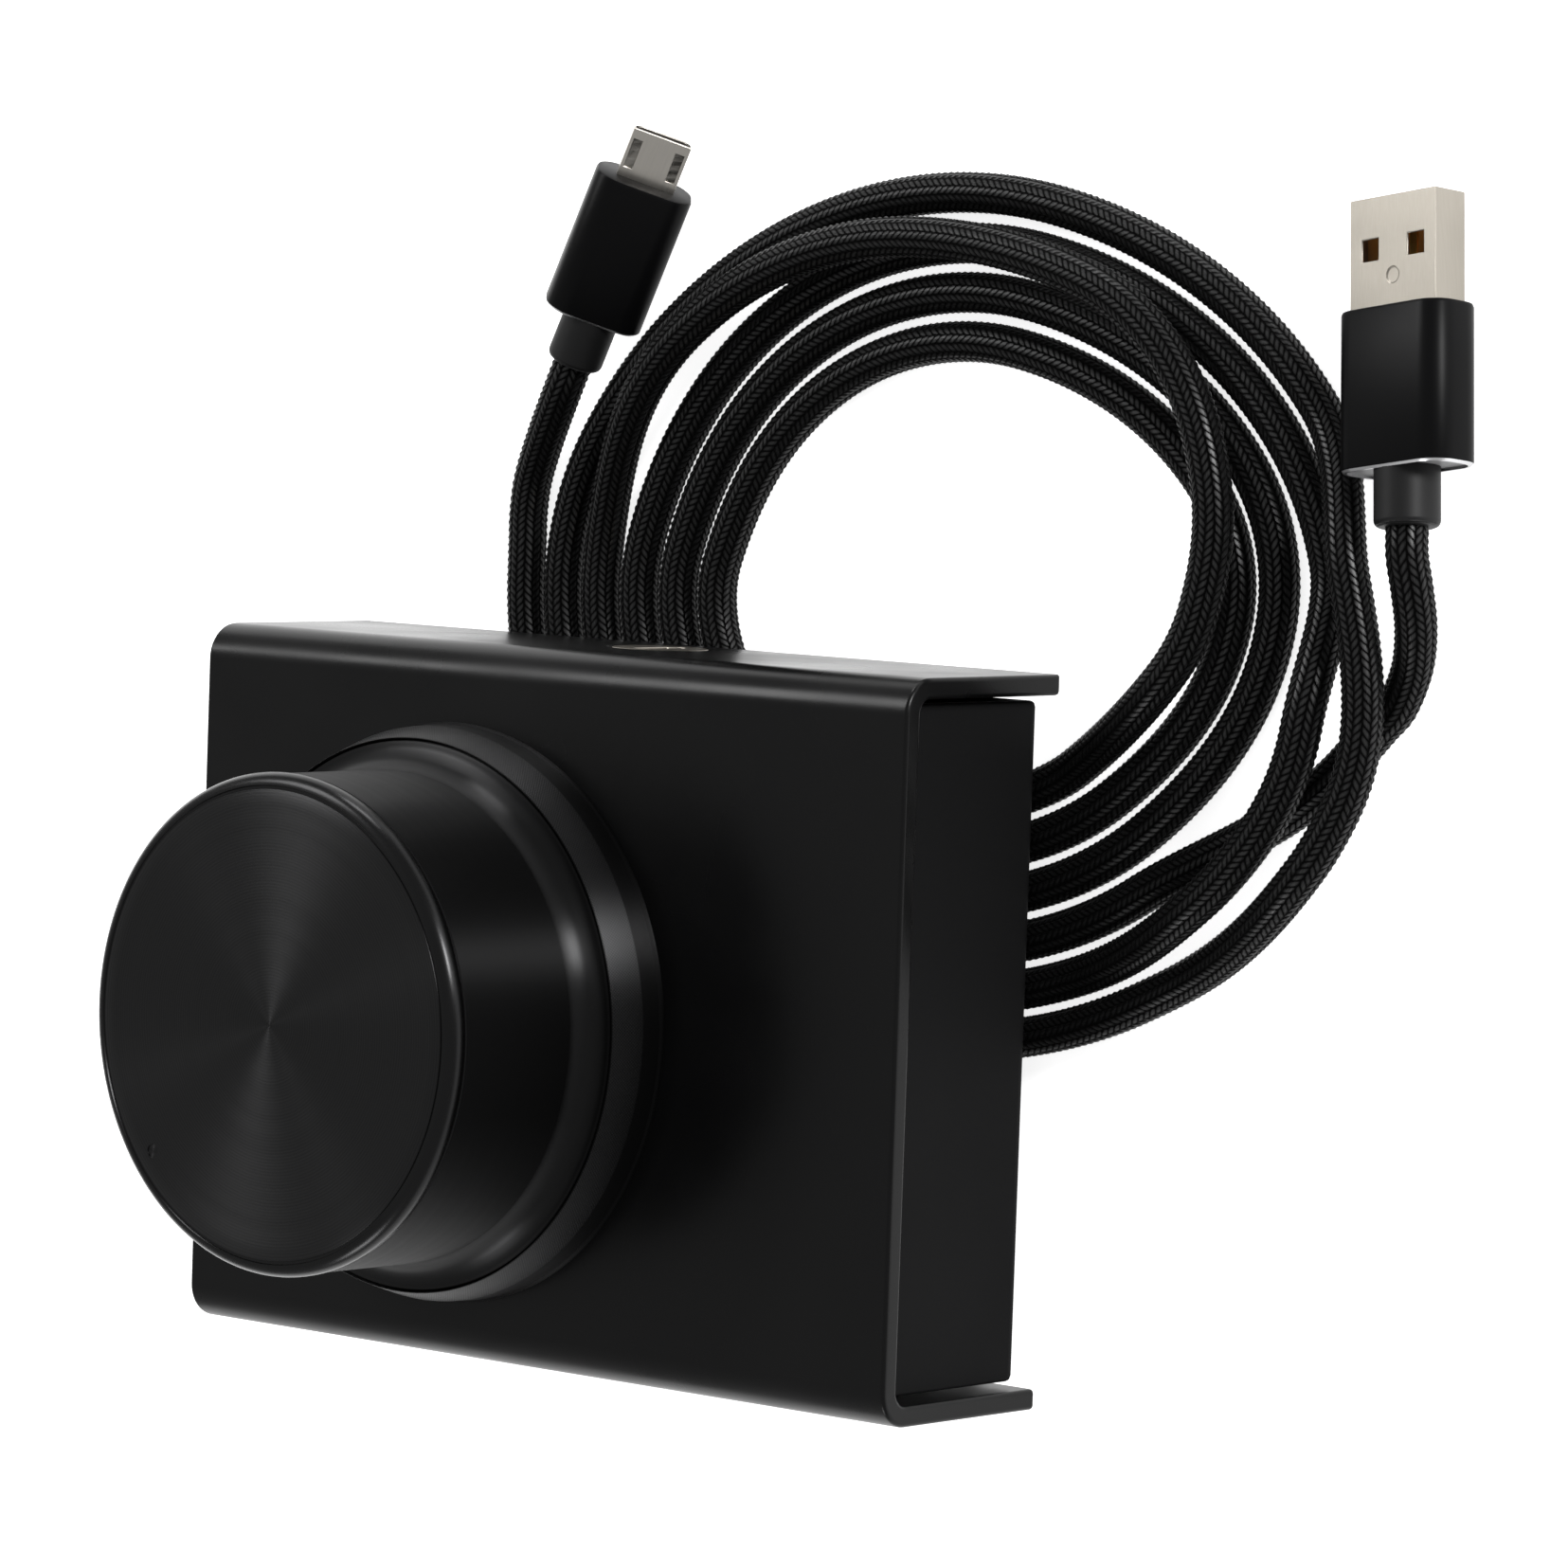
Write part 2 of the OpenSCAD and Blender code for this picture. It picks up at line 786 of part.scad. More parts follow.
// Section of the small five-pin socket, upright, grown by g
module socket_section(g) {
    w = socket_w / 2 + g;
    t = socket_t / 2 + g;
    polygon([[t, -w], [t, w], [-t * 0.2, w], [-t, w - 1.1], [-t, -w + 1.1], [-t * 0.2, -w]]);
}

module socket_shell() {
    color([0.78, 0.78, 0.78])
    translate([port_x, socket_front, port_z])
        rotate([90, 0, 0])
            difference() {
                linear_extrude(socket_l)
                    socket_section(0);
                translate([0, 0, -1])
                    linear_extrude(socket_l + 1 - socket_wall)
                        socket_section(-socket_wall);
            }
}

module socket_tongue() {
    tongue_w = 3.8;
    tongue_t = 0.6;
    tongue_l = 4.6;
    color([0.06, 0.06, 0.06])
    translate([port_x - tongue_t / 2 + 0.3, socket_front - socket_l + socket_wall,
        port_z - tongue_w / 2])
        cube([tongue_t, tongue_l, tongue_w]);
}

// Bright round bezel in the rear flange, slotted for the socket
module port_bezel() {
    color([0.8, 0.8, 0.8])
    translate([port_x, 0, port_z])
        difference() {
            union() {
                translate([0, flange_in - eps, 0])
                    rotate([-90, 0, 0])
                        cylinder(r = bezel_d / 2, h = cover_t + eps);
                translate([0, flange_in - bezel_collar_t, 0])
                    rotate([-90, 0, 0])
                        cylinder(r = bezel_collar_r, h = bezel_collar_t);
            }
            translate([0, body_d / 2 + 1, 0])
                rotate([90, 0, 0])
                    linear_extrude(cover_t + bezel_collar_t + 2)
                        socket_section(drop_gap);
        }
}

// ---------------------------------------------------------------- cord

// Place of pass n at the left of the coil, counted from the outermost ring
function place_left(n) = n == 5 ? 2 : n >= 2 ? n + 1 : n;

// Place at angle a of pass n: the fifth pass climbs over the others at the right and the rear,
// and the last one slips out under the two outer rings to the large plug
function place_at(n, a) =
    n == 5 ? 2 - 2.7 * ease(a, slip_out) :
    n == 4 ? 5 - 2 * ease(a, cross_near) - 2 * ease(a, cross_over) + ease(a, cross_settle) :
    place_left(n) - (n >= 2 ? ease(a, close_up) : 0)
        + (place_left(n + 1) - n) * ease(a, n == 0 ? step_in_first : step_in);

// Height of the axis at angle a of pass n, above a cord that lies on the table
function lift_at(n, a) =
    n == 0 ? layer_h * rise(a, rise_outer) :
    n == 1 ? layer_h * rise(a, rise_second) :
    n == 4 ? layer_h * rise(a, rise_cross) : 0;

// How far the axis leans outwards there
function lean_at(n, a) =
    n == 0 ? lean_out[0] * rise(a, lean_outer) :
    n == 1 ? lean_out[1] * rise(a, lean_second) : 0;

// A point on the coil's axis at angle t; each pass starts at the left
function coil_point(t) =
    let (n = min(5, floor((t - coil_start) / 360)), a = t - 360 * n, k = place_at(n, a),
        b = sin(a) > 0 ? coil_b_rear - step_rear * k : coil_b_front - step_front * k)
    [coil_c.x + (coil_a - step_x * k) * cos(a) + lean_at(n, a), coil_c.y + b * sin(a),
        cord_r + lift_at(n, a)];

coil_steps = round((coil_end - coil_start) / 360 * coil_rings);
coil_bare = [for (i = [0 : coil_steps])
    coil_point(coil_start + (coil_end - coil_start) * i / coil_steps)];
coil_entry_dir = [0, -1, 0];
coil_exit_dir = unit(coil_point(coil_end) - coil_point(coil_end - 1));
coil_path = concat([coil_bare[0] - cord_d * coil_entry_dir], coil_bare,
    [coil_bare[coil_steps] + cord_d * coil_exit_dir]);

// Least distance between points of a path that are 8 or more rings apart
function nearest_self(p) = min([for (i = [0 : len(p) - 9], j = [i + 8 : len(p) - 1])
    norm(p[i] - p[j])]);
echo(coil_gap = nearest_self(coil_path) - cord_d);

// Direction of a plug that points the turn's way on the table, and up by its tilt
function heading(turn, tilt) = [cos(turn) * cos(tilt), sin(turn) * cos(tilt), sin(tilt)];
small_dir = heading(small_turn, small_tilt);
large_dir = heading(large_turn, large_tilt);

// Where the cord meets each plug's strain relief
small_start = [small_end.x, small_end.y, axis_height(
    [small_sleeve_w, small_sleeve_t, collar_l + small_sleeve_l],
    [small_shell_w, small_shell_t, collar_l + small_sleeve_l + small_shell_l], small_tilt, small_roll)];
large_start = [large_end.x, large_end.y, axis_height(
    [large_sleeve_w, large_sleeve_t, collar_l + large_sleeve_l],
    [large_shell_w, large_shell_t, collar_l + large_sleeve_l + large_shell_l], large_tilt, large_roll)];

// Routes of the two free stretches, from the coil to each plug's strain relief
small_route = [
    coil_path[0], coil_path[0] - 3 * coil_entry_dir, [-29, 57.2, 2.55], [-27.3, 60.6, 3.2],
    [-25, 64, 4.2], small_start - 3 * small_dir, small_start];
large_route = [
    coil_path[len(coil_path) - 1], coil_path[len(coil_path) - 1] + 3 * coil_exit_dir,
    [97.7, 43.3, 3.2], [99.3, 47.5, 5], [99.9, 51.5, 6.7],
    large_start - 3 * large_dir, large_start];

// Direction of a path at point i
function along(p, i) =
    let (n = len(p) - 1)
    unit(i == 0 ? p[1] - p[0] : i == n ? p[n] - p[n - 1] : p[i + 1] - p[i - 1]);

// Ring of points of a tube round point i of a path that is never upright
function tube_ring(p, i, r, sides) =
    let (d = along(p, i), s = unit(cross(d, [0, 0, 1])), u = cross(s, d))
    [for (k = [0 : sides - 1]) let (a = 360 * (k + 0.5) / sides)
        p[i] + r * cos(a) * s + r * sin(a) * u];

module tube(p, r, sides) {
    n = len(p);
    last = (n - 1) * sides;
    points = [for (i = [0 : n - 1]) each tube_ring(p, i, r, sides)];
    walls = [for (i = [0 : n - 2], k = [0 : sides - 1])
        let (m = (k + 1) % sides, q = i * sides)
        each [[q + k, q + sides + k, q + sides + m], [q + k, q + sides + m, q + m]]];
    ends = [for (k = [1 : sides - 2]) each [[0, k, k + 1], [last, last + k + 1, last + k]]];
    polyhedron(points = points, faces = concat(walls, ends));
}

module cord_coil() {
    color([0.07, 0.07, 0.08])
    tube(coil_path, cord_r, coil_sides);
}

module cord_lead_small() {
    color([0.07, 0.07, 0.08])
    tube(small_route, cord_r, lead_sides);
}

module cord_lead_large() {
    color([0.07, 0.07, 0.08])
    tube(large_route, cord_r, lead_sides);
}

// ---------------------------------------------------------------- plugs

// A plug's own frame: origin where its cord ends, +Y the way it points, +Z out of its broad face
module at_small_plug() {
    translate(small_start)
        rotate([0, 0, small_turn - 90])
            rotate([small_tilt, 0, 0])
                rotate([0, small_roll, 0])
                    children();
}

module at_large_plug() {
    translate(large_start)
        rotate([0, 0, large_turn - 90])
            rotate([large_tilt, 0, 0])
                rotate([0, large_roll, 0])
                    children();
}

// Extrudes a section (x, z) along +Y from y0 to y1
module along_plug(y0, y1) {
    translate([0, y1, 0])
        rotate([90, 0, 0])
            linear_extrude(y1 - y0)
                children();
}

// Strain relief: a round moulded collar, let into the sleeve
module plug_collar(d) {
    rotate([-90, 0, 0])
        rotate_extrude()
            polygon([[0, 0], [d / 2 - collar_edge, 0], [d / 2, collar_edge],
                [d / 2, collar_l + sleeve_seat], [0, collar_l + sleeve_seat]]);
}

// Metal sleeve: open at the cord's end for its cap, slotted for the shell at the other
module plug_sleeve(w, t, l, collar_d, shell_w, shell_t) {
    difference() {
        along_plug(collar_l, collar_l + l)
            round_rect(w, t, sleeve_round);
        along_plug(collar_l - 1, collar_l + sleeve_recess)
            round_rect(w - 2 * sleeve_wall, t - 2 * sleeve_wall, sleeve_round - sleeve_wall);
        rotate([-90, 0, 0])
            rod(collar_d / 2 + push_gap, collar_l - 1, collar_l + sleeve_seat);
        along_plug(collar_l + l - sleeve_seat, collar_l + l + 1)
            square([shell_w + 2 * push_gap, shell_t + 2 * push_gap], center = true);
    }
}

// Cap let into the sleeve's open end, round the collar
module plug_cap(w, t, collar_d) {
    difference() {
        along_plug(collar_l + sleeve_recess - sleeve_cap_t, collar_l + sleeve_recess)
            round_rect(w - 2 * sleeve_wall - 2 * push_gap, t - 2 * sleeve_wall - 2 * push_gap,
                sleeve_round - sleeve_wall - push_gap);
        rotate([-90, 0, 0])
            rod(collar_d / 2 + push_gap, collar_l - 1, collar_l + sleeve_recess + 1);
    }
}

module small_collar() {
    color([0.05, 0.05, 0.05])
    at_small_plug()
        plug_collar(small_collar_d);
}

module small_sleeve() {
    color([0.1, 0.1, 0.11])
    at_small_plug()
        plug_sleeve(small_sleeve_w, small_sleeve_t, small_sleeve_l, small_collar_d,
            small_shell_w, small_shell_t);
}

module small_sleeve_cap() {
    color([0.5, 0.5, 0.5])
    at_small_plug()
        plug_cap(small_sleeve_w, small_sleeve_t, small_collar_d);
}

// Section of the small plug's shell, with its two cut corners underneath, shrunk by g
module small_shell_section(g) {
    w = small_shell_w / 2 - g;
    t = small_shell_t / 2 - g;
    polygon([[-w, t], [w, t], [w, -t * 0.1], [w - 0.75, -t], [-w + 0.75, -t], [-w, -t * 0.1]]);
}

module small_shell() {
    y1 = collar_l + small_sleeve_l;
    latch_x = 2.5;
    latch_w = 1;
    latch_l = 3.4;
    latch_y = 1.15;
    color([0.8, 0.8, 0.78])
    at_small_plug()
        difference() {
            along_plug(y1 - sleeve_seat, y1 + small_shell_l)
                small_shell_section(0);
            along_plug(y1 - sleeve_seat + shell_floor, y1 + small_shell_l + 1)
                small_shell_section(shell_wall);
            for (s = [-1, 1])
                translate([s * latch_x - latch_w / 2, y1 + latch_y, 0])
                    cube([latch_w, latch_l, small_shell_t]);
        }
}

module small_tongue() {
    y1 = collar_l + small_sleeve_l;
    tongue_w = 3.9;
    tongue_t = 0.45;
    tongue_in = 0.8;
    color([0.04, 0.04, 0.04])
    at_small_plug()
        translate([-tongue_w / 2, y1 - sleeve_seat + shell_floor,
            small_shell_t / 2 - shell_wall - tongue_t])
            cube([tongue_w, small_shell_l + sleeve_seat - shell_floor - tongue_in, tongue_t]);
}

module large_collar() {
    color([0.05, 0.05, 0.05])
    at_large_plug()
        plug_collar(large_collar_d);
}

module large_sleeve() {
    color([0.1, 0.1, 0.11])
    at_large_plug()
        plug_sleeve(large_sleeve_w, large_sleeve_t, large_sleeve_l, large_collar_d,
            large_shell_w, large_shell_t);
}

module large_sleeve_cap() {
    color([0.5, 0.5, 0.5])
    at_large_plug()
        plug_cap(large_sleeve_w, large_sleeve_t, large_collar_d);
}

module large_shell() {
    y1 = collar_l + large_sleeve_l;
    window = 2.3;
    window_x = 3.2;
    window_y = 5.1;
    dimple_y = 3.3;
    dimple_r = 0.85;
    dimple_depth = 0.15;
    color([0.8, 0.8, 0.78])
    at_large_plug()
        difference() {
            translate([-large_shell_w / 2, y1 - sleeve_seat, -large_shell_t / 2])
                cube([large_shell_w, large_shell_l + sleeve_seat, large_shell_t]);
            translate([-large_shell_w / 2 + shell_wall, y1 - sleeve_seat + shell_floor,
                -large_shell_t / 2 + shell_wall])
                cube([large_shell_w - 2 * shell_wall, large_shell_l + sleeve_seat,
                    large_shell_t - 2 * shell_wall]);
            for (s = [-1, 1])
                translate([s * window_x - window / 2, y1 + window_y, -large_shell_t])
                    cube([window, window, 2 * large_shell_t]);
            translate([0, y1 + dimple_y, 0])
                rod(dimple_r, large_shell_t / 2 - dimple_depth, large_shell_t);
        }
}

// Moulded tongue along the shell's floor
module large_tongue() {
    y1 = collar_l + large_sleeve_l;
    color([0.55, 0.3, 0.08])
    at_large_plug()
        translate([-large_shell_w / 2 + shell_wall, y1 - sleeve_seat + shell_floor,
            -large_shell_t / 2 + shell_wall])
            cube([large_shell_w - 2 * shell_wall,
                large_shell_l + sleeve_seat - shell_floor - large_tongue_in, large_tongue_t]);
}

module large_contacts() {
    contact_x = [-3.5, -1, 1, 3.5];
    contact_l = [8.6, 7.6, 7.6, 8.6];
    contact_w = 1;
    contact_t = 0.25;
    contact_in = 1.8;
    tip = collar_l + large_sleeve_l + large_shell_l - contact_in;
    tongue_top = -large_shell_t / 2 + shell_wall + large_tongue_t;
    color([0.85, 0.66, 0.3])
    at_large_plug()
        for (i = [0 : 3])
            translate([contact_x[i] - contact_w / 2, tip - contact_l[i], tongue_top])
                cube([contact_w, contact_l[i], contact_t]);
}

// ---------------------------------------------------------------- the pieces

cover();
cover_pillars();
tray();
tray_screws();
feet();
base_ring();
ring_screws();
dial_knob();
dial_hub();
shaft();
encoder_rotor();
switch_plunger();
switch_dome();
encoder_body();
encoder_cap();
encoder_bushing();
washer();
lock_nut();
main_board();
board_posts();
board_screws();
controller_chip();
small_chips();
port_board();
socket_shell();
socket_tongue();
port_bezel();
cord_coil();
cord_lead_small();
cord_lead_large();
small_collar();
small_sleeve();
small_sleeve_cap();
small_shell();
small_tongue();
large_collar();
large_sleeve();
large_sleeve_cap();
large_shell();
large_tongue();
large_contacts();
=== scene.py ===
"""Desktop volume control with a turned push dial: its looks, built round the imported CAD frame."""

import json
import math

import bmesh
import bpy
from mathutils import Matrix, Vector

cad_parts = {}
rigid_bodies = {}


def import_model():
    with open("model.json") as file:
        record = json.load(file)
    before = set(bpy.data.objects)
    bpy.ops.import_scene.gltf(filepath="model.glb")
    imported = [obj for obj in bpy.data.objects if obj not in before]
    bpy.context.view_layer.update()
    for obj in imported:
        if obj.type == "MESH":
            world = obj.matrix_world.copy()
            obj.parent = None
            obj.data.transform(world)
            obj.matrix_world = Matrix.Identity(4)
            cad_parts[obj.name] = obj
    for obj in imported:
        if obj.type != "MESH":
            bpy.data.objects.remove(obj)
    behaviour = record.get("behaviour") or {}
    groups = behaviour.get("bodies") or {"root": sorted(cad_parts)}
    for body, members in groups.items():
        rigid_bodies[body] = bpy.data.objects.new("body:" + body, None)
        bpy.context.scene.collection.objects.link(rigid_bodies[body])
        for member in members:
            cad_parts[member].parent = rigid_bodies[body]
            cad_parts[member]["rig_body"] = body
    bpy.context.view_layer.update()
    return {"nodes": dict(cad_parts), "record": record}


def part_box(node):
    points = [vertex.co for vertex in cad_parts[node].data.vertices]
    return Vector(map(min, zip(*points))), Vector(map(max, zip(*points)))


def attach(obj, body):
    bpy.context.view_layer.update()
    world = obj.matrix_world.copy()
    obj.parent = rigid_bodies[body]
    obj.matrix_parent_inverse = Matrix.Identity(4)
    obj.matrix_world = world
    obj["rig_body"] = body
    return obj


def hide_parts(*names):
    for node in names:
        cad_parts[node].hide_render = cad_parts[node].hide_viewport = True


bl_info = {
    "name": "Volume dial",
    "version": (1, 0, 0),
    "blender": (4, 5, 0),
    "location": "View3D > Sidebar > Volume dial",
    "description": "Builds a folded metal volume control, its turned dial and its braided cord",
    "category": "Object",
}

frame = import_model()
MM = 0.001


def middle(node):
    """Centre of a CAD node's box at rest."""
    low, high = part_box(node)
    return (low + high) / 2


DIAL_AXIS = Vector((middle("dial_knob").x, middle("dial_knob").y, 0))
PLATE_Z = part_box("cover")[1].z
SLOT_OF = {part["node"]: part["material_slot"] for part in frame["record"]["subparts"]}
BODY_OF = {name: node["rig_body"] for name, node in frame["nodes"].items()}


# ---------------------------------------------------------------- sizes, in millimetres and degrees

# The dial: radii from its axis, and heights from the plate's top
SKIRT_R, SKIRT_BORE_R, SKIRT_LOW, SKIRT_ROOF, SKIRT_TOP = 30.45, 27.6, 2.4, 5.1, 6.6
WALL_R, WALL_BORE_R, WALL_LOW, WALL_MIDDLE, WALL_TOP = 27.3, 24.8, 10.3, 18.2, 25.75
FLARE_TOP = 9.5
# Angle at which the flare's arc ends, just short of the wall
FLARE_LEAN = 14
# The bead round the face: its own radius, and where its middle lies
BEAD_R, BEAD_MIDDLE_R, BEAD_MIDDLE_H = 1.4, 26.1, 26.75
# The groove between the bead and the face, and the face itself
GROOVE_R, GROOVE_H = 25.7, 28.0
FACE_R, FACE_H, FACE_UNDERSIDE = 25.6, 28.15, 24.65
BOSS_R, BOSS_LOW, HUB_BORE_R, HUB_BORE_TOP = 7.5, 6.5, 5.03, 23
# The small round mark in the face, its distance from the axis and its direction
MARK_R, MARK_FLOOR, MARK_OUT, MARK_ANGLE = 0.78, 28.04, 23.4, 221.5

# The base ring: its foot, its band, its bore and the land that the screws hold
RING_R, RING_BORE_R, RING_OPEN_R, LAND_R = 32.35, 30.65, 14, 27
RING_FLOOR, LAND_H, RING_TOP = 1.2, 4.1, 6.7
BAND_LOW, BAND_TOP = (31.98, 2.95), (30.82, 6.6)

# The rubber feet, with the hollow in their undersides, and the tray's screws
FOOT_R, FOOT_H, FOOT_ROUND = 4.5, 5.5, 0.8
HOLLOW_R, HOLLOW_DEPTH = 2.6, 0.25
HEAD_R, HEAD_H, SHANK_R, SHANK_TOP = 2.7, 1.2, 1.4, 7.9
DRIVE_R, DRIVE_DEPTH = 1.05, 0.9

# The plugs' sleeves between two distances along the plug, and the insets of the bright rim at the cord's end
SLEEVE_START, SLEEVE_END = 6, 23
RIM_INSET, RIM_WALL = 0.28, 0.6

# Diameter of the cord over its braid
CORD_D = 4.6

# The coil seen from above: its middle, and half its size at the outermost ring
COIL_X, COIL_Y = 31.5, 46
COIL_HALF_X, COIL_HALF_REAR, COIL_HALF_FRONT = 61.2, 46, 47.5
# How much smaller each ring is than the one outside it
STEP_X, STEP_REAR, STEP_FRONT = 5.9, 5.4, 5.15
# Height of a ring that lies on another
LAYER = 5.15
# The angles that the coil runs between, and in how many steps
COIL_START, COIL_END, COIL_STEPS = 180, 2145, 3000
# Angles between which a ring is lifted, and between which it is let down
LIFTED = {0: (305, 330, 368, 392), 1: (292, 318, 347, 371), 4: (306, 350, 489, 538)}
# How far a lifted ring leans outwards, and between which angles
LEANING = {0: (4, (300, 332, 338, 372)), 1: (2, (290, 320, 334, 368))}
# Angles between which a ring moves to another place
CLOSE_UP, STEP_IN_FIRST, STEP_IN = (315, 390), (435, 515), (435, 528)
CROSS_NEAR, CROSS_OVER, CROSS_SETTLE, SLIP_OUT = (312, 386), (364, 424), (450, 528), (308, 366)
# How many places the last ring slips out by, under the outer ones
SLIP_PLACES = 2.7

# Edges that turn by more than this many degrees stay sharp
SHARP, TURNED_SHARP = 35, 28


# ---------------------------------------------------------------- settings


class CameraSettings(bpy.types.PropertyGroup):
    """Where the photograph was taken from."""

    lens: bpy.props.FloatProperty(
        name="Lens", description="Focal length for a 36 mm sensor", default=174.67, min=20, unit="CAMERA"
    )
    place: bpy.props.FloatVectorProperty(
        name="Place", description="Where the camera stands", subtype="XYZ", unit="LENGTH",
        default=(0.5689, 0.0821, 0.6425)
    )
    right: bpy.props.FloatVectorProperty(
        name="Right", description="Direction of the picture's right", subtype="DIRECTION",
        default=(0.75177, 0.03442, -0.65852)
    )
    up: bpy.props.FloatVectorProperty(
        name="Up", description="Direction of the picture's top", subtype="DIRECTION",
        default=(-0.06995, 0.99716, -0.02773)
    )


class CordSettings(bpy.types.PropertyGroup):
    """The braided cord."""

    diameter: bpy.props.FloatProperty(
        name="Diameter", description="Diameter over the braid", default=CORD_D * MM, min=1 * MM, unit="LENGTH"
    )
    columns: bpy.props.IntProperty(
        name="Columns", description="Columns of stitches round the cord", default=14, min=6, max=24
    )
    pitch: bpy.props.FloatProperty(
        name="Pitch", description="Length of a stitch along the cord", default=0.86 * MM, min=0.3 * MM,
        unit="LENGTH"
    )
    relief: bpy.props.FloatProperty(
        name="Relief", description="Height of a stitch", default=0.16 * MM, min=0, unit="LENGTH"
    )
    colour: bpy.props.FloatVectorProperty(
        name="Colour", description="Colour of the yarn", subtype="COLOR", default=(0.007, 0.007, 0.0072)
    )


class MetalSettings(bpy.types.PropertyGroup):
    """The folded box."""

    colour: bpy.props.FloatVectorProperty(
        name="Colour", description="Colour of the satin coat", subtype="COLOR", default=(0.002, 0.002, 0.0021)
    )
    roughness: bpy.props.FloatProperty(
        name="Roughness", description="Roughness of the satin coat", default=0.29, min=0, max=1
    )
    edge: bpy.props.FloatProperty(
        name="Edge", description="Rounding of the sheet's edges", default=0.5 * MM, min=0, unit="LENGTH"
    )


class DialSettings(bpy.types.PropertyGroup):
    """The turned dial."""

    segments: bpy.props.IntProperty(
        name="Segments", description="Faces round the dial", default=192, min=48, max=360
    )
    colour: bpy.props.FloatVectorProperty(
        name="Colour", description="Colour of the turned metal", subtype="COLOR",
        default=(0.032, 0.032, 0.0325)
    )
    ring_pitch: bpy.props.FloatProperty(
        name="Ring pitch", description="Distance between the turned rings", default=0.34 * MM, min=0.05 * MM,
        unit="LENGTH"
    )


class StudioSettings(bpy.types.PropertyGroup):
    """The floor and the lamps."""

    floor_size: bpy.props.FloatProperty(
        name="Floor", description="Width of the floor", default=6.0, min=1, unit="LENGTH"
    )
    surround: bpy.props.FloatProperty(
        name="Surround", description="Brightness of the studio round the lamps", default=0.55, min=0, max=1
    )


# ---------------------------------------------------------------- node helpers


class Tree:
    """Adds nodes to one node tree and links them up."""

    def __init__(self, tree):
        self.nodes, self.links = tree.nodes, tree.links

    def add(self, kind, inputs=(), **settings):
        """A new node, with its settings, and its inputs set to values or linked to sockets."""
        node = self.nodes.new(kind)
        for name, value in settings.items():
            setattr(node, name, value)
        for key, value in dict(inputs).items():
            if isinstance(value, bpy.types.NodeSocket):
                self.links.new(value, node.inputs[key])
            else:
                node.inputs[key].default_value = value
        return node

    def maths(self, operation, a, b=0.0, c=0.0):
        """The result socket of one Math node."""
        return self.add("ShaderNodeMath", {0: a, 1: b, 2: c}, operation=operation).outputs[0]

    def between(self, value, low, high, to_low=0.0, to_high=1.0):
        """The value taken from one range to another, and kept inside it."""
        keys = ("Value", "From Min", "From Max", "To Min", "To Max")
        inputs = dict(zip(keys, (value, low, high, to_low, to_high)))
        return self.add("ShaderNodeMapRange", inputs).outputs[0]

    def mixed(self, factor, a, b):
        """Two colours mixed."""
        inputs = {"Factor": factor, 6: (*a, 1), 7: (*b, 1)}
        return self.add("ShaderNodeMix", inputs, data_type="RGBA").outputs[2]

    def noise(self, scale, detail=2.0, dimensions="3D", **place):
        """Smooth noise at a place."""
        inputs = {**place, "Scale": scale, "Detail": detail}
        return self.add("ShaderNodeTexNoise", inputs, noise_dimensions=dimensions).outputs["Fac"]

    def effect(self, make, inputs):
        """A shared shader group with its own values here, as its output sockets by name."""
        return self.add("ShaderNodeGroup", inputs, node_tree=shared(make)).outputs

    def feed(self, node, sockets):
        """Links sockets to a node's inputs by their names."""
        for name, socket in sockets.items():
            self.links.new(socket, node.inputs[name])


def new_group(name, kind, inputs, outputs):
    """An empty node group with named sockets, its input sockets by name, and its output node."""
    group = bpy.data.node_groups.new(name, kind)
    for in_out, sockets in (("INPUT", inputs), ("OUTPUT", outputs)):
        for label, (socket_kind, value) in sockets.items():
            socket = group.interface.new_socket(label, in_out=in_out, socket_type="NodeSocket" + socket_kind)
            if value is not None:
                socket.default_value = value
    tree = Tree(group)
    return tree, group, tree.add("NodeGroupInput").outputs, tree.add("NodeGroupOutput")


# ---------------------------------------------------------------- shader groups


def grain_group():
    """Fine sprayed or blasted grain, and slow patches: a mask, a slow mask and a normal."""
    tree, nodes, given, out = new_group(
        "Fine grain", "ShaderNodeTree",
        {"Vector": ("Vector", None), "Grain size": ("Float", 0.2 * MM), "Height": ("Float", 0.01 * MM)},
        {"Grain": ("Float", None), "Patches": ("Float", None), "Normal": ("Vector", None)},
    )
    per_metre = tree.maths("DIVIDE", 1.0, given["Grain size"])
    fine = tree.noise(per_metre, Vector=given["Vector"])
    slow = tree.noise(45.0, 3.0, Vector=given["Vector"])
    bump = tree.add("ShaderNodeBump", {"Distance": given["Height"], "Height": fine})
    tree.feed(out, {"Grain": fine, "Patches": slow, "Normal": bump.outputs[0]})
    return nodes


def brushed_group():
    """Fine lines drawn along one direction, turned from Y, and slow patches: two masks and a normal."""
    tree, nodes, given, out = new_group(
        "Brushed lines", "ShaderNodeTree",
        {"Vector": ("Vector", None), "Turn": ("Float", 0.0), "Scale": ("Float", 9000.0)},
        {"Lines": ("Float", None), "Patches": ("Float", None), "Normal": ("Vector", None)},
    )
    rotation = tree.add("ShaderNodeCombineXYZ", {2: given["Turn"]}).outputs[0]
    mapped = tree.add("ShaderNodeMapping", {
        "Vector": given["Vector"], "Rotation": rotation, "Scale": (1, 20, 1),
    }, vector_type="TEXTURE").outputs[0]
    lines = tree.noise(given["Scale"], Vector=mapped)
    slow = tree.noise(160.0, Vector=given["Vector"])
    bump = tree.add("ShaderNodeBump", {"Distance": 0.002 * MM, "Height": lines})
    tree.feed(out, {"Lines": lines, "Patches": slow, "Normal": bump.outputs[0]})
    return nodes


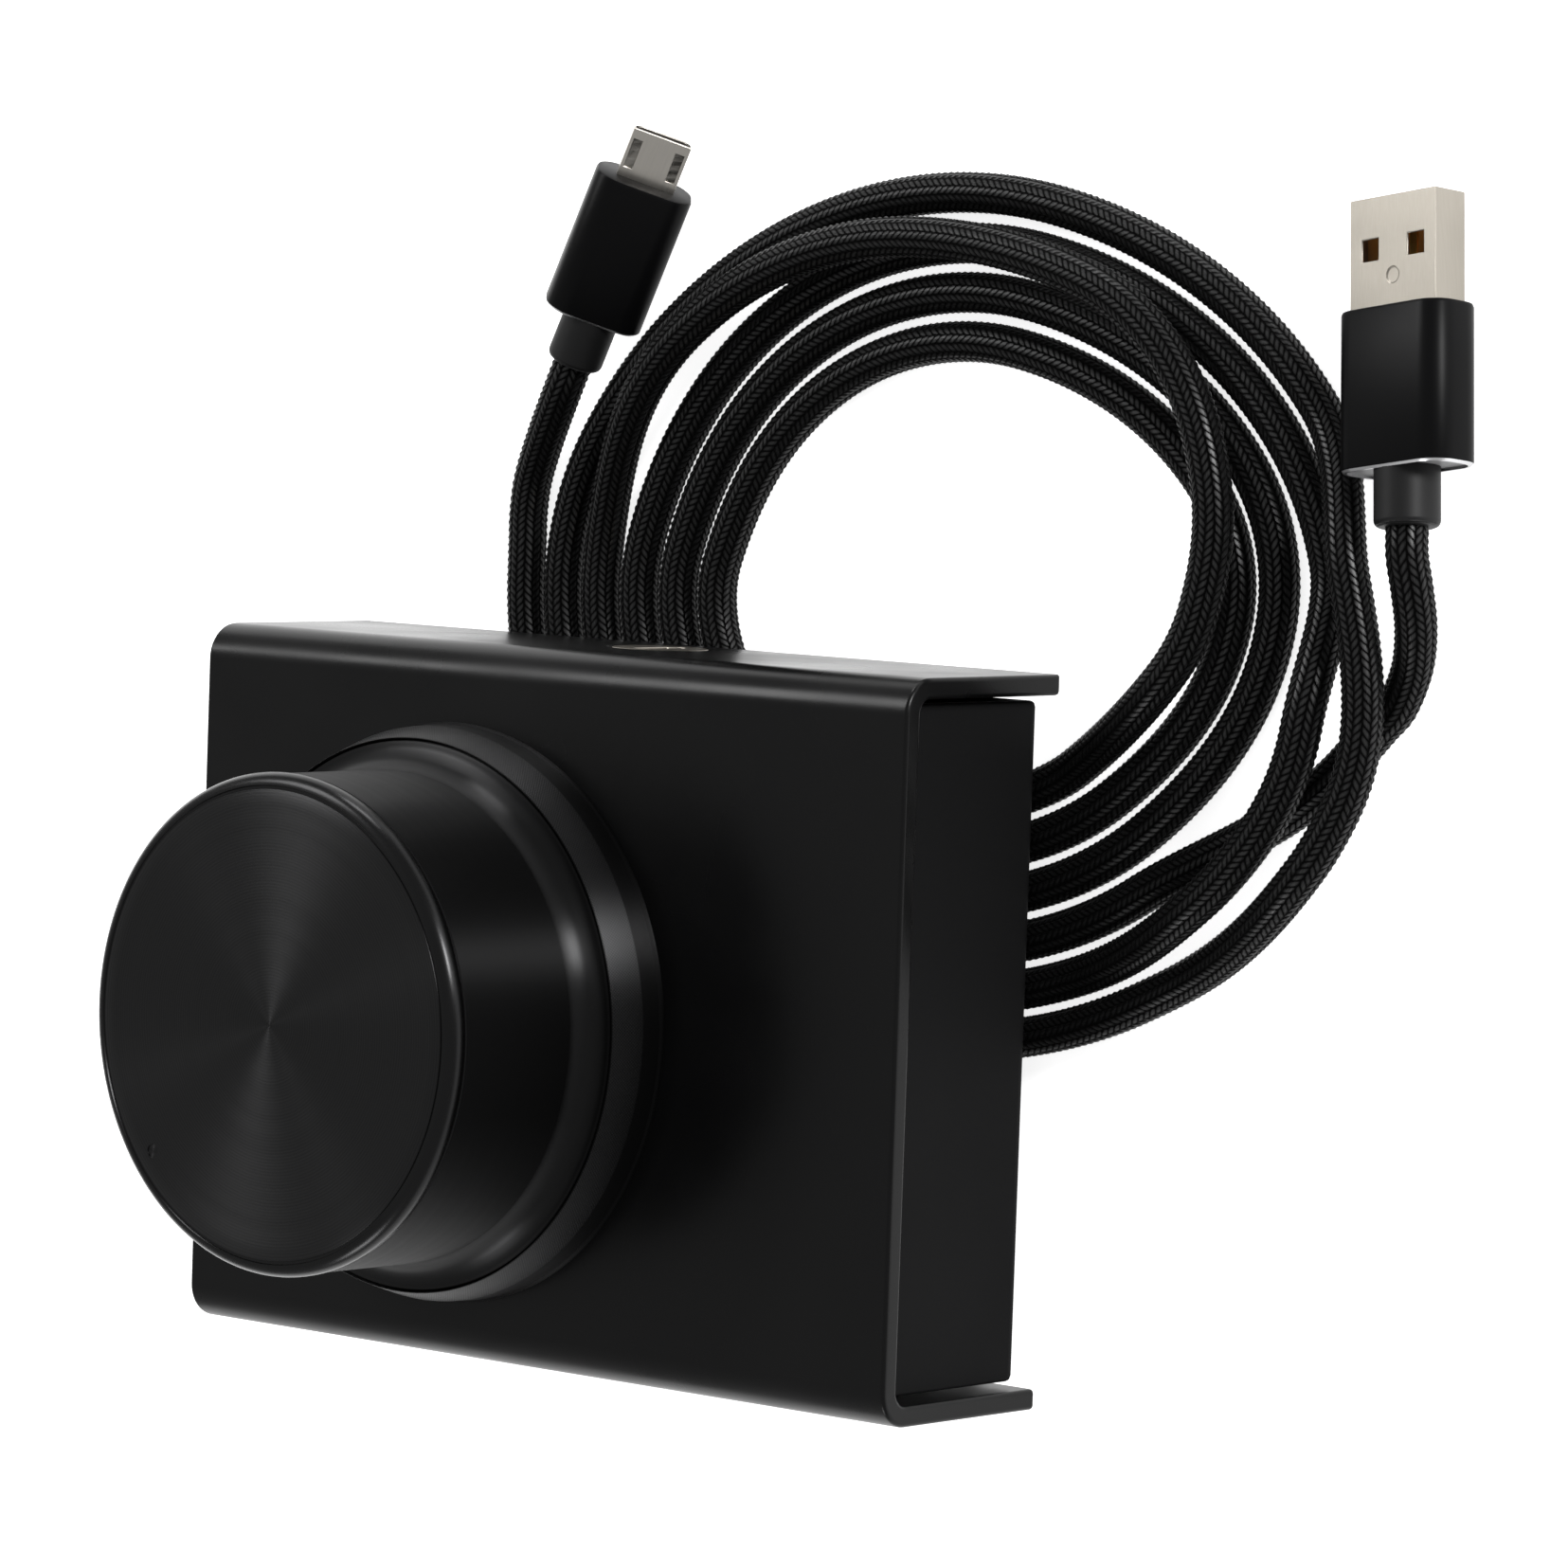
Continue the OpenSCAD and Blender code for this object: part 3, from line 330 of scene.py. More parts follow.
def turned_group():
    """Concentric tool marks that follow a turned piece's outline: two masks and a normal."""
    tree, nodes, given, out = new_group(
        "Turned rings", "ShaderNodeTree",
        {"Along": ("Float", None), "Pitch": ("Float", 0.34 * MM), "Height": ("Float", 0.004 * MM)},
        {"Rings": ("Float", None), "Bands": ("Float", None), "Normal": ("Vector", None)},
    )
    turns = tree.maths("DIVIDE", given["Along"], given["Pitch"])
    wave = tree.maths("SINE", tree.maths("MULTIPLY", turns, 2 * math.pi))
    noise = tree.noise(2.3, dimensions="1D", W=turns)
    bands = tree.noise(0.13, dimensions="1D", W=turns)
    rings = tree.maths("MULTIPLY_ADD", wave, 0.3, noise)
    bump = tree.add("ShaderNodeBump", {"Distance": given["Height"], "Height": rings})
    tree.feed(out, {"Rings": rings, "Bands": bands, "Normal": bump.outputs[0]})
    return nodes


def braid_field(tree, around, along, columns, pitch):
    """Height of a braid's stitches from 0 to 1, and the place along a stitch, in either kind of tree."""
    slope, ridge_shape, swell_shape = 1.1, 0.7, 0.6
    place = tree.maths("MULTIPLY", around, columns)
    column = tree.maths("FLOOR", place)
    across = tree.maths("SUBTRACT", tree.maths("SUBTRACT", place, column), 0.5)
    odd = tree.maths("ABSOLUTE", tree.maths("MODULO", column, 2.0))
    lean = tree.maths("MULTIPLY_ADD", odd, -2.0, 1.0)
    slant = tree.maths("MULTIPLY", tree.maths("MULTIPLY", lean, slope), across)
    turn = tree.maths("ADD", tree.maths("DIVIDE", along, pitch), slant)
    turn = tree.maths("MULTIPLY_ADD", odd, 0.5, turn)
    step = tree.maths("SUBTRACT", tree.maths("FRACT", turn), 0.5)
    ridge = tree.maths("COSINE", tree.maths("MULTIPLY", step, math.pi))
    swell = tree.maths("COSINE", tree.maths("MULTIPLY", across, math.pi))
    ridge, swell = tree.maths("POWER", ridge, ridge_shape), tree.maths("POWER", swell, swell_shape)
    return tree.maths("MULTIPLY", ridge, swell), step


def braid_group():
    """Stitches of a braided cord on its UV map: height, a tone for each stitch, and a normal."""
    tree, nodes, given, out = new_group(
        "Braid", "ShaderNodeTree",
        {
            "UV": ("Vector", None), "Columns": ("Float", 12.0), "Pitch": ("Float", MM),
            "Relief": ("Float", 0.1 * MM),
        },
        {"Stitch": ("Float", None), "Tone": ("Float", None), "Normal": ("Vector", None)},
    )
    place = tree.add("ShaderNodeSeparateXYZ", {0: given["UV"]}).outputs
    thread_turn, thread_height = 38.0, 0.04
    height, step = braid_field(tree, place[0], place[1], given["Columns"], given["Pitch"])
    threads = tree.maths("SINE", tree.maths("MULTIPLY", step, thread_turn))
    stitched = tree.maths("MULTIPLY_ADD", threads, thread_height, height)
    tone = tree.noise(900.0, 1.0, Vector=given["UV"])
    bump = tree.add("ShaderNodeBump", {"Distance": given["Relief"], "Height": stitched})
    tree.feed(out, {"Stitch": height, "Tone": tone, "Normal": bump.outputs[0]})
    return nodes


GROUPS = {}


def shared(make):
    """A shader node group, built once."""
    if make not in GROUPS:
        GROUPS[make] = make()
    return GROUPS[make]


# ---------------------------------------------------------------- materials


def principled(name, **constants):
    """A new material with a Principled shader, whose constant sockets are set by name."""
    material = bpy.data.materials.new(name)
    material.use_nodes = True
    tree = Tree(material.node_tree)
    shader = next(n for n in tree.nodes if n.type == "BSDF_PRINCIPLED")
    for key, value in constants.items():
        shader.inputs[key.replace("_", " ")].default_value = value
    return material, tree, shader


def times(colour, share):
    """A colour with each part multiplied."""
    return tuple(c * share for c in colour)


def grained(name, colour, roughness, grain, height, spread=0.25, **constants):
    """A moulded, coated or blasted finish: fine grain in its colour, roughness and normal."""
    material, tree, shader = principled(name, **constants)
    place = tree.add("ShaderNodeTexCoord").outputs["Object"]
    made = tree.effect(grain_group, {"Vector": place, "Grain size": grain, "Height": height})
    tree.feed(shader, {
        "Base Color": tree.mixed(made["Grain"], times(colour, 1 - spread), times(colour, 1 + spread)),
        "Roughness": tree.between(made["Patches"], 0.3, 0.7, roughness - 0.06, roughness + 0.06),
        "Normal": made["Normal"],
    })
    return material


def brushed(name, colour, roughness, turn=0, scale=9000):
    """Bare or plated metal with fine lines drawn along a direction, turned from Y by some degrees."""
    material, tree, shader = principled(name, Metallic=1.0)
    place = tree.add("ShaderNodeTexCoord").outputs["Object"]
    made = tree.effect(brushed_group, {"Vector": place, "Turn": math.radians(turn), "Scale": scale})
    tree.feed(shader, {
        "Base Color": tree.mixed(made["Lines"], times(colour, 0.86), colour),
        "Roughness": tree.between(made["Patches"], 0.3, 0.7, roughness * 0.92, roughness * 1.2),
        "Normal": made["Normal"],
    })
    return material


def turned(name, colour, roughness, anisotropy, pitch, height, spread=0.05, variation=0.12):
    """Turned metal: tool marks along the outline, and highlights that fan out round the axis."""
    material, tree, shader = principled(
        name, Metallic=1.0, Anisotropic=anisotropy, Anisotropic_Rotation=0.25
    )
    uv = tree.add("ShaderNodeUVMap", uv_map="UVMap").outputs[0]
    along = tree.add("ShaderNodeSeparateXYZ", {0: uv}).outputs[1]
    made = tree.effect(turned_group, {"Along": along, "Pitch": pitch, "Height": height})
    low, high = roughness * (1 - variation), roughness * (1 + variation)
    tangent = tree.add("ShaderNodeTangent", direction_type="UV_MAP", uv_map="UVMap")
    tree.feed(shader, {
        "Base Color": tree.mixed(made["Rings"], times(colour, 1 - spread), times(colour, 1 + spread)),
        "Roughness": tree.between(made["Bands"], 0.3, 0.7, low, high),
        "Normal": made["Normal"],
        "Tangent": tangent.outputs[0],
    })
    return material


def knurled(name, colour, roughness, count, pitch, **constants):
    """A band with a fine crossed pattern, rolled in round a turned piece, its hollows painted darker as
    shade.
    """
    material, tree, shader = principled(name, **constants)
    uv = tree.add("ShaderNodeUVMap", uv_map="UVMap").outputs[0]
    place = tree.add("ShaderNodeSeparateXYZ", {0: uv}).outputs
    round_turns = tree.maths("MULTIPLY", place[0], 2 * math.pi * count)
    along_turns = tree.maths("MULTIPLY", place[1], 2 * math.pi / pitch)
    one = tree.maths("SINE", tree.maths("ADD", round_turns, along_turns))
    two = tree.maths("SINE", tree.maths("SUBTRACT", round_turns, along_turns))
    crossed = tree.maths("MULTIPLY_ADD", tree.maths("ADD", one, two), 0.25, 0.5)
    bump = tree.add("ShaderNodeBump", {"Distance": 0.012 * MM, "Height": crossed})
    tangent = tree.add("ShaderNodeTangent", direction_type="UV_MAP", uv_map="UVMap")
    tree.feed(shader, {
        # The pattern's hollows are painted half as bright, which is painted shade.
        "Base Color": tree.mixed(crossed, times(colour, 0.5), colour),
        "Roughness": tree.between(crossed, 0.2, 0.8, roughness + 0.06, roughness - 0.06),
        "Normal": bump.outputs[0],
        "Tangent": tangent.outputs[0],
    })
    return material


def braided(name, colour, columns, pitch, relief):
    """Black yarn in a herringbone braid, on the cord's own UV map, with painted shade in the gaps between
    stitches.
    """
    material, tree, shader = principled(
        name, Sheen_Weight=0.02, Sheen_Roughness=0.35, Specular_IOR_Level=0.03, Coat_Roughness=0.36,
    )
    uv = tree.add("ShaderNodeUVMap", uv_map="UVMap").outputs[0]
    made = tree.effect(braid_group, {"UV": uv, "Columns": columns, "Pitch": pitch, "Relief": relief})
    tone = tree.between(made["Tone"], 0.3, 0.7, 0.4, 1.25)
    tone_and_gap_shade = tree.maths("MULTIPLY", made["Stitch"], tone)
    tree.feed(shader, {
        # Base colour falls to a twentieth in the gaps between stitches, which is painted shade; each stitch's
        # own tone also differs at random.
        "Base Color": tree.mixed(tree.between(tone_and_gap_shade, 0.3, 1.0), times(colour, 0.05), colour),
        "Roughness": tree.between(tone_and_gap_shade, 0.2, 1.0, 0.8, 0.36),
        "Coat Weight": tree.between(tone_and_gap_shade, 0.3, 0.9, 0.0, 0.8),
        "Normal": made["Normal"],
    })
    return material


def all_materials(scene):
    """Every finish of the object, by the name of its slot or its own name."""
    coat, rough = tuple(scene.vol_metal.colour), scene.vol_metal.roughness
    face, pitch = tuple(scene.vol_dial.colour), scene.vol_dial.ring_pitch
    cord = scene.vol_cord
    return {
        "aluminium_black": grained("Satin black coat", coat, rough, 0.16 * MM, 0.003 * MM, IOR=1.25),
        "tray_black": grained(
            "Satin black tray", (0.0065, 0.0065, 0.0067), 0.6, 0.16 * MM, 0.003 * MM, IOR=1.1
        ),
        # The dial's bands are one turned black metal, each with its own share of that colour, set for how
        # light falls on it: the wall, whose finish the ring's foot and bore share, is painted darkest as
        # shade, then the flare, the bead and the face.
        "dial_black": turned(
            "Turned black wall", times(face, 0.27), 0.47, 0.95, 0.21 * MM, 0.0002 * MM, 0.02, 0.03
        ),
        "dial_lip": turned("Turned black flare", times(face, 0.5), 0.34, 0.85, 0.12 * MM, 0.0002 * MM),
        "dial_face": turned(
            "Turned black face", times(face, 0.75), 0.36, 0.85, pitch, 0.003 * MM, 0.15, 0.06
        ),
        "dial_bead": turned("Turned black bead", times(face, 0.6), 0.28, 0.5, 0.2 * MM, 0.0004 * MM),
        "ring_band": knurled(
            "Fine crossed band", (0.022, 0.022, 0.0225), 0.35, 560, 0.36 * MM,
            Metallic=1.0, Anisotropic=0.9, Anisotropic_Rotation=0.25
        ),
        "sleeve_black": grained(
            "Matte black sleeve", (0.002, 0.002, 0.0022), 0.36, 0.12 * MM, 0.002 * MM, IOR=1.16
        ),
        "cut_metal": brushed("Bright cut rim", (0.6, 0.6, 0.61), 0.3),
        "steel": brushed("Bright steel", (0.58, 0.58, 0.6), 0.28),
        "black_steel": grained("Blackened steel", (0.02, 0.02, 0.022), 0.4, 0.1 * MM, 0.003 * MM, IOR=1.5),
        "plated": brushed("Plated shell", (0.34, 0.315, 0.275), 0.3, 8, 5000),
        "small_plated": brushed("Small plated shell", (0.5, 0.475, 0.435), 0.28, -26, 5000),
        "brass": brushed("Brass", (0.66, 0.5, 0.22), 0.3),
        "gold": brushed("Gold contact", (0.8, 0.6, 0.24), 0.22),
        "rubber": grained("Black rubber", (0.018, 0.018, 0.018), 0.75, 0.3 * MM, 0.02 * MM),
        "white_plastic": grained("White moulding", (0.76, 0.75, 0.71), 0.45, 0.3 * MM, 0.01 * MM, 0.03),
        "black_plastic": grained(
            "Black moulding", (0.0045, 0.0045, 0.0047), 0.5, 0.15 * MM, 0.006 * MM, Specular_IOR_Level=0.2
        ),
        "grey_plastic": grained("Grey moulding", (0.22, 0.22, 0.225), 0.5, 0.2 * MM, 0.012 * MM, 0.12),
        "amber_plastic": grained(
            "Amber moulding", (0.26, 0.1, 0.02), 0.35, 0.3 * MM, 0.005 * MM, 0.1, Subsurface_Weight=0.15
        ),
        "board_green": grained("Green board", (0.02, 0.12, 0.05), 0.4, 1.2 * MM, 0.02 * MM, 0.35),
        "chip_tan": grained("Tan chip", (0.35, 0.26, 0.15), 0.6, 0.2 * MM, 0.01 * MM),
        "braid": braided("Black braid", tuple(cord.colour), cord.columns, cord.pitch, 0.26 * MM),
    }


MATERIALS = {}


# ---------------------------------------------------------------- mesh helpers


def kept(obj, name, slot, body, *nodes):
    """Names a finished piece, gives it its body, and hides the CAD nodes it stands for; the slot argument is
    not used.
    """
    obj.name = obj.data.name = name
    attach(obj, body)
    if nodes:
        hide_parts(*nodes)
    return obj


def linked(name, data):
    """A new object in the scene, for a mesh, a lamp or a camera."""
    obj = bpy.data.objects.new(name, data)
    bpy.context.scene.collection.objects.link(obj)
    return obj


def evaluated(obj):
    """The object with its modifiers made part of a plain mesh."""
    bpy.context.view_layer.update()
    graph = bpy.context.evaluated_depsgraph_get()
    mesh = bpy.data.meshes.new_from_object(obj.evaluated_get(graph), depsgraph=graph)
    done = linked(obj.name + "_mesh", mesh)
    bpy.data.objects.remove(obj)
    return done


def softened(node, name, width, material, segments=2):
    """A copy of a CAD node with its sharp edges rounded, which stands for the node."""
    mesh = frame["nodes"][node].data.copy()
    mesh.materials.clear()
    mesh.materials.append(material)
    shape = bmesh.new()
    shape.from_mesh(mesh)
    bmesh.ops.remove_doubles(shape, verts=shape.verts, dist=1e-6)
    flat = math.radians(0.6)
    bmesh.ops.dissolve_limit(shape, angle_limit=flat, verts=shape.verts, edges=shape.edges, delimit=set())
    for face in shape.faces:
        face.smooth, face.material_index = True, 0
    shape.to_mesh(mesh)
    shape.free()
    obj = linked(name, mesh)
    bevel = obj.modifiers.new("Edges", "BEVEL")
    bevel.width, bevel.segments = width, segments
    bevel.limit_method, bevel.angle_limit = "ANGLE", math.radians(SHARP)
    bevel.harden_normals = bevel.use_clamp_overlap = False
    weighted = obj.modifiers.new("Normals", "WEIGHTED_NORMAL")
    weighted.keep_sharp = True
    obj = evaluated(obj)
    return kept(obj, name, SLOT_OF[node], BODY_OF[node], node)


def arc(x, z, radius, start, end, steps):
    """Points of an arc in a turned outline, angles in degrees."""
    angles = [math.radians(start + (end - start) * i / steps) for i in range(steps + 1)]
    return [(x + radius * math.cos(a), z + radius * math.sin(a)) for a in angles]


def joined(bands):
    """One outline from bands that meet end to end, and the band that each of its stretches belongs to."""
    outline, finish = [], []
    for index, (points, _) in enumerate(bands):
        outline += points[1:] if outline else points
        finish += [index] * (len(points) - 1)
    return outline, finish


def finished_mesh(name, shape, bands, sharp):
    """An object of the built shape, with the bands' materials and its corners kept sharp."""
    bmesh.ops.recalc_face_normals(shape, faces=shape.faces)
    mesh = bpy.data.meshes.new(name)
    shape.to_mesh(mesh)
    shape.free()
    for _, material in bands:
        mesh.materials.append(material)
    mesh.set_sharp_from_angle(angle=math.radians(sharp))
    return linked(name, mesh)


def turned_mesh(name, bands, centre, segments):
    """A turned solid in millimetres: bands of outline points (radius, height), each with its material."""
    outline, finish = joined(bands)
    along = [0.0]
    for a, b in zip(outline, outline[1:]):
        along.append(along[-1] + math.dist(a, b) * MM)
    shape = bmesh.new()
    uv = shape.loops.layers.uv.new("UVMap")
    rings = []
    for radius, height in outline:
        count = 1 if radius < 1e-6 else segments
        rings.append([
            shape.verts.new((
                centre.x + radius * MM * math.cos(2 * math.pi * k / segments),
                centre.y + radius * MM * math.sin(2 * math.pi * k / segments),
                centre.z + height * MM,
            )) for k in range(count)
        ])
    for i, (low, high) in enumerate(zip(rings, rings[1:])):
        for k in range(segments):
            m = k + 1
            corners = [(low, k, i), (low, m, i), (high, m, i + 1), (high, k, i + 1)]
            if len(low) == 1:
                corners = [(low, k + 0.5, i), (high, m, i + 1), (high, k, i + 1)]
            if len(high) == 1:
                corners = [(low, k, i), (low, m, i), (high, k + 0.5, i + 1)]
            face = shape.faces.new([ring[int(q) % len(ring)] for ring, q, _ in corners])
            face.material_index, face.smooth = finish[i], True
            for loop, (_, q, j) in zip(face.loops, corners):
                loop[uv].uv = (q / segments, along[j])
    return finished_mesh(name, shape, bands, TURNED_SHARP)


def rounded_section(width, thickness, radius):
    """Corner points of a rounded rectangle, centred."""
    points = []
    for turn, (sx, sz) in enumerate(((1, 1), (-1, 1), (-1, -1), (1, -1))):
        cx, cz = sx * (width / 2 - radius), sz * (thickness / 2 - radius)
        points += arc(cx, cz, radius, 90 * turn, 90 * turn + 90, 6)
    return points


def lofted(name, place, section, bands):
    """A sleeve in its plug's frame: bands of (distance along, inset), each with its material."""
    rows, finish = joined(bands)
    width, thickness, radius = section
    shape = bmesh.new()
    rings = []
    for y, inset in rows:
        outline = rounded_section(width - 2 * inset, thickness - 2 * inset, radius - inset)
        rings.append([shape.verts.new(place @ (Vector((x, y, z)) * MM)) for x, z in outline])
    for i, (low, high) in enumerate(zip(rings, rings[1:])):
        for k in range(len(low)):
            m = (k + 1) % len(low)
            face = shape.faces.new((low[k], low[m], high[m], high[k]))
            face.material_index, face.smooth = finish[i], True
    for ring, index in ((rings[0], 0), (rings[-1], len(bands) - 1)):
        shape.faces.new(ring).material_index = index
    return finished_mesh(name, shape, bands, SHARP)


def placed_copies(piece, places, name, material):
    """Copies of one small piece at several places, through Geometry Nodes, as a plain mesh."""
    outputs = {"Geometry": ("Geometry", None)}
    inputs = {**outputs, "Piece": ("Object", None), "Size": ("Float", 1.0), "Material": ("Material", None)}
    tree, nodes, given, out = new_group("Placed copies", "GeometryNodeTree", inputs, outputs)
    info = tree.add("GeometryNodeObjectInfo", {"Object": given["Piece"]})
    copies = tree.add("GeometryNodeInstanceOnPoints", {
        "Points": given["Geometry"], "Instance": info.outputs["Geometry"], "Scale": given["Size"],
    })
    real = tree.add("GeometryNodeRealizeInstances", {0: copies.outputs[0]})
    finished = {"Geometry": real.outputs[0], "Material": given["Material"]}
    tree.feed(out, {"Geometry": tree.add("GeometryNodeSetMaterial", finished).outputs[0]})
    mesh = bpy.data.meshes.new(name)
    mesh.from_pydata([tuple(p) for p in places], [], [])
    obj = linked(name, mesh)
    run_nodes(obj, nodes, {"Piece": piece, "Material": material})
    done = evaluated(obj)
    bpy.data.objects.remove(piece)
    return done


def run_nodes(obj, nodes, values):
    """Adds a Geometry Nodes modifier and sets its inputs by their sockets' identifiers."""
    modifier = obj.modifiers.new("Nodes", "NODES")
    modifier.node_group = nodes
    for item in nodes.interface.items_tree:
        if item.item_type == "SOCKET" and item.in_out == "INPUT" and item.name in values:
            modifier[item.identifier] = values[item.name]


# ---------------------------------------------------------------- the cord's route


def ease(angle, window):
    """A soft step from 0 to 1 while the angle runs through the window."""
    share = min(1.0, max(0.0, (angle - window[0]) / (window[1] - window[0])))
    return 0.5 - 0.5 * math.cos(math.pi * share)


def rise(angle, window):
    """Up between the window's first two angles, and down between its last two."""
    return ease(angle, window[:2]) - ease(angle, window[2:])


def ring_place(ring, angle):
    """Place of the coil's ring, counted inwards from the outermost one."""
    def left(n):
        return 2 if n == 5 else n + 1 if n >= 2 else n

    if ring == 5:
        return left(5) - SLIP_PLACES * ease(angle, SLIP_OUT)
    if ring == 4:
        crossed = 2 * ease(angle, CROSS_NEAR) + 2 * ease(angle, CROSS_OVER)
        return left(4) - crossed + ease(angle, CROSS_SETTLE)
    closing = ease(angle, CLOSE_UP) if ring >= 2 else 0
    window = STEP_IN_FIRST if ring == 0 else STEP_IN
    return left(ring) - closing + (left(ring + 1) - ring) * ease(angle, window)


def coil_point(turned_by):
    """A point on the coil's axis: oval rings, with one that crosses over the others."""
    ring = min(5, math.floor((turned_by - COIL_START) / 360))
    angle = turned_by - 360 * ring
    place = ring_place(ring, angle)
    lift = LAYER * rise(angle, LIFTED[ring]) if ring in LIFTED else 0.0
    lean = LEANING[ring][0] * rise(angle, LEANING[ring][1]) if ring in LEANING else 0.0
    a = math.radians(angle)
    across = COIL_HALF_X - STEP_X * place
    depth = COIL_HALF_REAR - STEP_REAR * place if math.sin(a) > 0 else COIL_HALF_FRONT - STEP_FRONT * place
    return Vector((COIL_X + across * math.cos(a) + lean, COIL_Y + depth * math.sin(a), CORD_D / 2 + lift))


def smooth_through(points, steps):
    """Points of a smooth line through a few points, without the last one."""
    ends = [2 * points[0] - points[1], *points, 2 * points[-1] - points[-2]]
    line = []
    for p, q, r, s in zip(ends, ends[1:], ends[2:], ends[3:]):
        for i in range(steps):
            t = i / steps
            line.append(0.5 * (
                2 * q + (r - p) * t + (2 * p - 5 * q + 4 * r - s) * t * t + (3 * q - p - 3 * r + s) * t ** 3
            ))
    return line


class Plug:
    """How a plug lies on the table: where its cord ends, and the three angles that it is turned by."""

    def __init__(self, end, turn, tilt, roll):
        self.end = Vector(end)
        self.turned = (
            Matrix.Rotation(math.radians(turn - 90), 4, "Z") @ Matrix.Rotation(math.radians(tilt), 4, "X")
            @ Matrix.Rotation(math.radians(roll), 4, "Y")
        )
        self.heading = self.turned.to_3x3() @ Vector((0, 1, 0))
        self.frame = Matrix.Translation(self.end * MM) @ self.turned


PLUGS = {"small": Plug((-20.6, 71.2, 5.346), 64, 0, 45), "large": Plug((99.2, 58.1, 7.085), 98, -7, -6)}


def straight(start, end, steps):
    """Points of a straight line, without the last one."""
    return [start + (end - start) * i / steps for i in range(steps)]


def cord_route():
    """The cord's whole axis, from the small plug round the coil to the large plug."""
    small, large = PLUGS["small"], PLUGS["large"]
    coil = [coil_point(COIL_START + (COIL_END - COIL_START) * i / COIL_STEPS) for i in range(COIL_STEPS + 1)]
    away = (coil_point(COIL_END) - coil_point(COIL_END - 1)).normalized()
    first = coil[0] + Vector((0, CORD_D, 0))
    last = coil[-1] + CORD_D * away
    lead_in = [
        small.end + 3 * small.heading, small.end, small.end - 3 * small.heading, Vector((-25, 64, 4.2)),
        Vector((-27.3, 60.6, 3.2)), Vector((-29, 57.2, 2.55)), first + Vector((0, 3, 0)), first,
    ]
    lead_out = [
        last, last + 3 * away, Vector((97.7, 43.3, 3.2)), Vector((99.3, 47.5, 5)), Vector((99.9, 51.5, 6.7)),
        large.end - 3 * large.heading, large.end, large.end + 3 * large.heading,
    ]
    route = smooth_through(lead_in, 12) + straight(first, coil[0], 8) + coil
    return route + straight(coil[-1], last, 8)[1:] + smooth_through(lead_out, 12)


def evenly(points, step):
    """The same line with its points a fixed step apart."""
    done, spare = [points[0]], 0.0
    for a, b in zip(points, points[1:]):
        length = (b - a).length
        while spare + length >= step:
            share = (step - spare) / length
            a = a + (b - a) * share
            length = (b - a).length
            spare = 0.0
            done.append(a)
        spare += length
    return done


# ---------------------------------------------------------------- operators


class VOLDIAL_OT_camera(bpy.types.Operator):
    """Stands the camera where the photograph was taken"""

    bl_idname = "voldial.camera"
    bl_label = "Camera"

    def execute(self, context):
        settings = context.scene.vol_camera
        camera = bpy.data.cameras.new("Camera")
        camera.sensor_width, camera.lens = 36, settings.lens
        camera.clip_start, camera.clip_end = 0.01, 50
        obj = linked("Camera", camera)
        right = Vector(settings.right).normalized()
        back = right.cross(Vector(settings.up)).normalized()
        turn = Matrix((right, back.cross(right), back)).transposed().to_4x4()
        obj.matrix_world = Matrix.Translation(settings.place) @ turn
        context.scene.camera = obj
        return {"FINISHED"}


class VOLDIAL_OT_materials(bpy.types.Operator):
    """Makes every finish, and gives each CAD piece the one that its slot names"""

    bl_idname = "voldial.materials"
    bl_label = "Finishes"

    def execute(self, context):
        MATERIALS.update(all_materials(context.scene))
        for name, node in frame["nodes"].items():
            node.data.materials.clear()
            node.data.materials.append(MATERIALS[SLOT_OF[name]])
        return {"FINISHED"}


